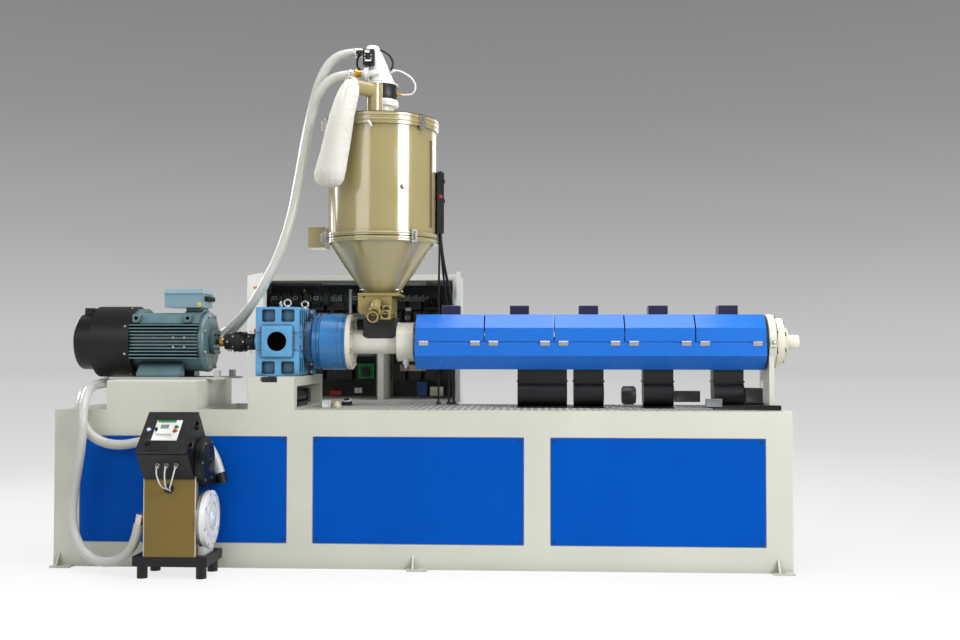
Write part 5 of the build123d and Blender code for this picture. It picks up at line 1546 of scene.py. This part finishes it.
def buildCabinet(settings):
    ducts = [addBlock(low, high, 0.002) for low, high in settings["greyDucts"]]
    for low, high in settings["greyDucts"]:
        upright = high[2] - low[2] > high[0] - low[0]
        count = int((high[2] - low[2] if upright else high[0] - low[0]) / 0.02)
        for number in range(count):
            step = 0.01 + 0.02 * number
            if upright:
                ducts.append(addBlock(
                    (low[0] - 0.001, low[1] - 0.001, low[2] + step),
                    (low[0] + 0.012, low[1] + 0.02, low[2] + step + 0.006), 0
                ))
            else:
                ducts.append(addBlock(
                    (low[0] + step, low[1] - 0.001, high[2] - 0.012),
                    (low[0] + step + 0.006, low[1] + 0.02, high[2] + 0.001), 0
                ))
    finishPiece(joinPieces(ducts), "wiringDucts", "greyPlastic")
    addBlocks("paleDucts", "palePlastic", settings["paleDucts"])
    front = settings["gearFront"]
    finishPiece(
        copyAll(
            addContactor(), [((along, front, height), (0, -1, 0)) for along, height in settings["contactors"]]
        ),
        "contactors", "gearPlastic"
    )
    labels = [
        ((along - 0.013, front - 0.0495, height - 0.006), (along + 0.013, front - 0.047, height + 0.012))
        for along, height in settings["contactors"][::2]
    ]
    addBlocks("contactorPlates", "palePlastic", labels, 0.0005)
    addBlocks("relayPlate", "greenPlastic", [((1.279, 0.83, 0.87), (1.37, 0.874, 0.955))])
    addBlocks(
        "relayBody", "blackPlastic",
        [((1.302, 0.805, 0.888), (1.346, 0.831, 0.936)), ((0.93, 0.82, 1.28), (0.95, 0.874, 1.36))]
    )
    addBlocks(
        "redTerminals", "redPlastic",
        [
            ((1.111 + 0.013 * number, 0.84, 0.776), (1.122 + 0.013 * number, 0.874, 0.797))
            for number in range(5)
        ],
        0.001
    )
    addBlocks(
        "sandTerminals", "sandPlastic",
        [
            ((1.523 + 0.0125 * number, 0.83, 0.915), (1.533 + 0.0125 * number, 0.874, 0.95))
            for number in range(12)
        ],
        0.001
    )
    addBlocks("yellowTag", "yellowPlastic", [((0.952, 0.85, 1.3), (0.96, 0.874, 1.39))], 0.001)
    addBlocks(
        "paleSockets", "palePlastic",
        [
            ((1.256, 0.84, 0.787), (1.275, 0.874, 0.816)), ((1.279, 0.84, 0.787), (1.297, 0.874, 0.816)),
            ((1.697, 0.82, 0.771), (1.772, 0.874, 0.823))
        ]
    )
    addBlocks("blueUnit", "bluePlastic", [((1.622, 0.81, 0.77), (1.68, 0.874, 0.85))])
    addBlocks("sandUnit", "sandPlastic", [((1.7, 0.812, 0.778), (1.765, 0.821, 0.8))], 0.001)
    strips = (
        (0.76, 1.318, 18), (1.02, 1.318, 12), (0.78, 1.0, 16), (1.5, 1.318, 14), (1.5, 1.02, 16),
        (1.12, 1.02, 10)
    )
    rows = [
        (
            (start + 0.0135 * number, 0.842, height),
            (start + 0.0135 * number + 0.0105, 0.874, height + 0.026 + 0.006 * (number % 3))
        )
        for start, height, count in strips
        for number in range(count)
    ]
    addBlocks("greyTerminals", "greyPlastic", rows, 0.001)
    plates = [
        ((1.6, 0.846, 1.17), (1.66, 0.872, 1.2)), ((1.55, 0.846, 1.262), (1.585, 0.872, 1.282)),
        ((0.84, 0.846, 1.05), (0.9, 0.872, 1.075)), ((1.14, 0.846, 1.1), (1.19, 0.872, 1.12)),
        ((1.72, 0.846, 1.06), (1.78, 0.872, 1.085)), ((0.99, 0.846, 1.13), (1.01, 0.872, 1.17))
    ]
    addBlocks("palePlates", "palePlastic", plates, 0.001)
    rear = [
        ((along, 0.9895, height), (0, 1, 0))
        for along in (0.72, 1.1, 1.475, 1.853)
        for height in (0.06, 0.5, 0.95, 1.38)
    ]
    addScrews("rearScrews", "pan", 0.006, rear)
    coils = [
        addRing((1.668 + 0.014 * number, 0.85, 1.31), (1, 0.25, 0), 0.02, 0.004, 32, 8)
        for number in range(7)
    ]
    finishPiece(joinPieces(coils), "cableCoil", "blackPlastic")
    for number, route in enumerate((
        [(0.82, 0.83, 1.29), (0.83, 0.8, 1.26), (0.87, 0.8, 1.235), (0.93, 0.81, 1.24), (0.97, 0.83, 1.28)],
        [(1.0, 0.83, 1.29), (1.01, 0.79, 1.25), (1.06, 0.79, 1.225), (1.12, 0.8, 1.24), (1.15, 0.83, 1.29)],
        [(1.55, 0.83, 1.18), (1.56, 0.79, 1.14), (1.6, 0.79, 1.11), (1.66, 0.8, 1.12), (1.7, 0.83, 1.18)],
        [(1.48, 0.84, 1.3), (1.49, 0.79, 1.2), (1.5, 0.78, 1.05), (1.53, 0.79, 0.95), (1.57, 0.84, 0.93)],
        [(1.74, 0.84, 1.31), (1.76, 0.79, 1.22), (1.75, 0.78, 1.1), (1.77, 0.79, 0.98), (1.76, 0.84, 0.9)],
        [(1.2, 0.84, 1.31), (1.21, 0.79, 1.2), (1.19, 0.78, 1.1), (1.22, 0.79, 0.99), (1.24, 0.84, 0.94)],
    )):
        addLine(f"gearLoom{number + 1}", route, 0.006, "blackPlastic")
    along, y = 0.53, -0.848
    for number, (reach, finish) in enumerate(settings["lampSpots"]):
        place = (0.697 + along * reach - 0.848 * 0.0095, 0.575 + y * reach - 0.53 * 0.0095, 1.377)
        lamp = addTurned(place, (-0.848, -0.53, 0), [(0.0095, 0.003), (0.0075, 0.006), (0.005, 0.001)], 24)
        finishPiece(lamp, f"doorLamp{number + 1}", finish, "door_left")


buildCabinet(cabinetSettings)
print("cabinet fitted")

# under and at the end of the barrel: blower motors' boxes and drum, a grey socket, clamp tab, flange screws
endSettings = {"clampEnd": 3.475, "dieEnd": 3.518}


def buildBarrelEnd(settings):
    addBlocks(
        "barrelBoxes", "blackPaint",
        [((2.971, -0.235, 0.787), (3.09, -0.2, 0.84)), ((3.302, -0.235, 0.783), (3.387, -0.19, 0.855))]
    )
    drum = addTurned(
        (2.719, -0.2, 0.817), (1, 0, 0), [(0.038, 0.006), (0.044, 0.004), (0.0445, 0.05), (0.038, 0.007)], 40
    )
    finishPiece(drum, "blowerMotor", "blackPaint")
    addBlocks("barrelSocket", "greyPlastic", [((3.118, -0.235, 0.764), (3.194, -0.205, 0.802))])
    addScrews(
        "clampRingScrews", "socket", 0.01, circleSpots(settings["clampEnd"] - 0.001, 0.129, 8, 22.5),
        "darkSteel"
    )
    addScrews(
        "dieFlangeScrews", "socket", 0.012, circleSpots(settings["dieEnd"] - 0.001, 0.1, 8, 22.5), "darkSteel"
    )
    addBlocks("clampTab", "paleFlange", [((3.441, -0.15, 1.052), (3.474, -0.132, 1.09))])
    bolt = [((3.457, -0.15, 1.071), (0, -1, 0))]
    addScrews("clampTabBolt", "hex", 0.009, bolt)


buildBarrelEnd(endSettings)
print("barrel end fitted")

finishNodes()
print("finishes given to the frame's pieces")
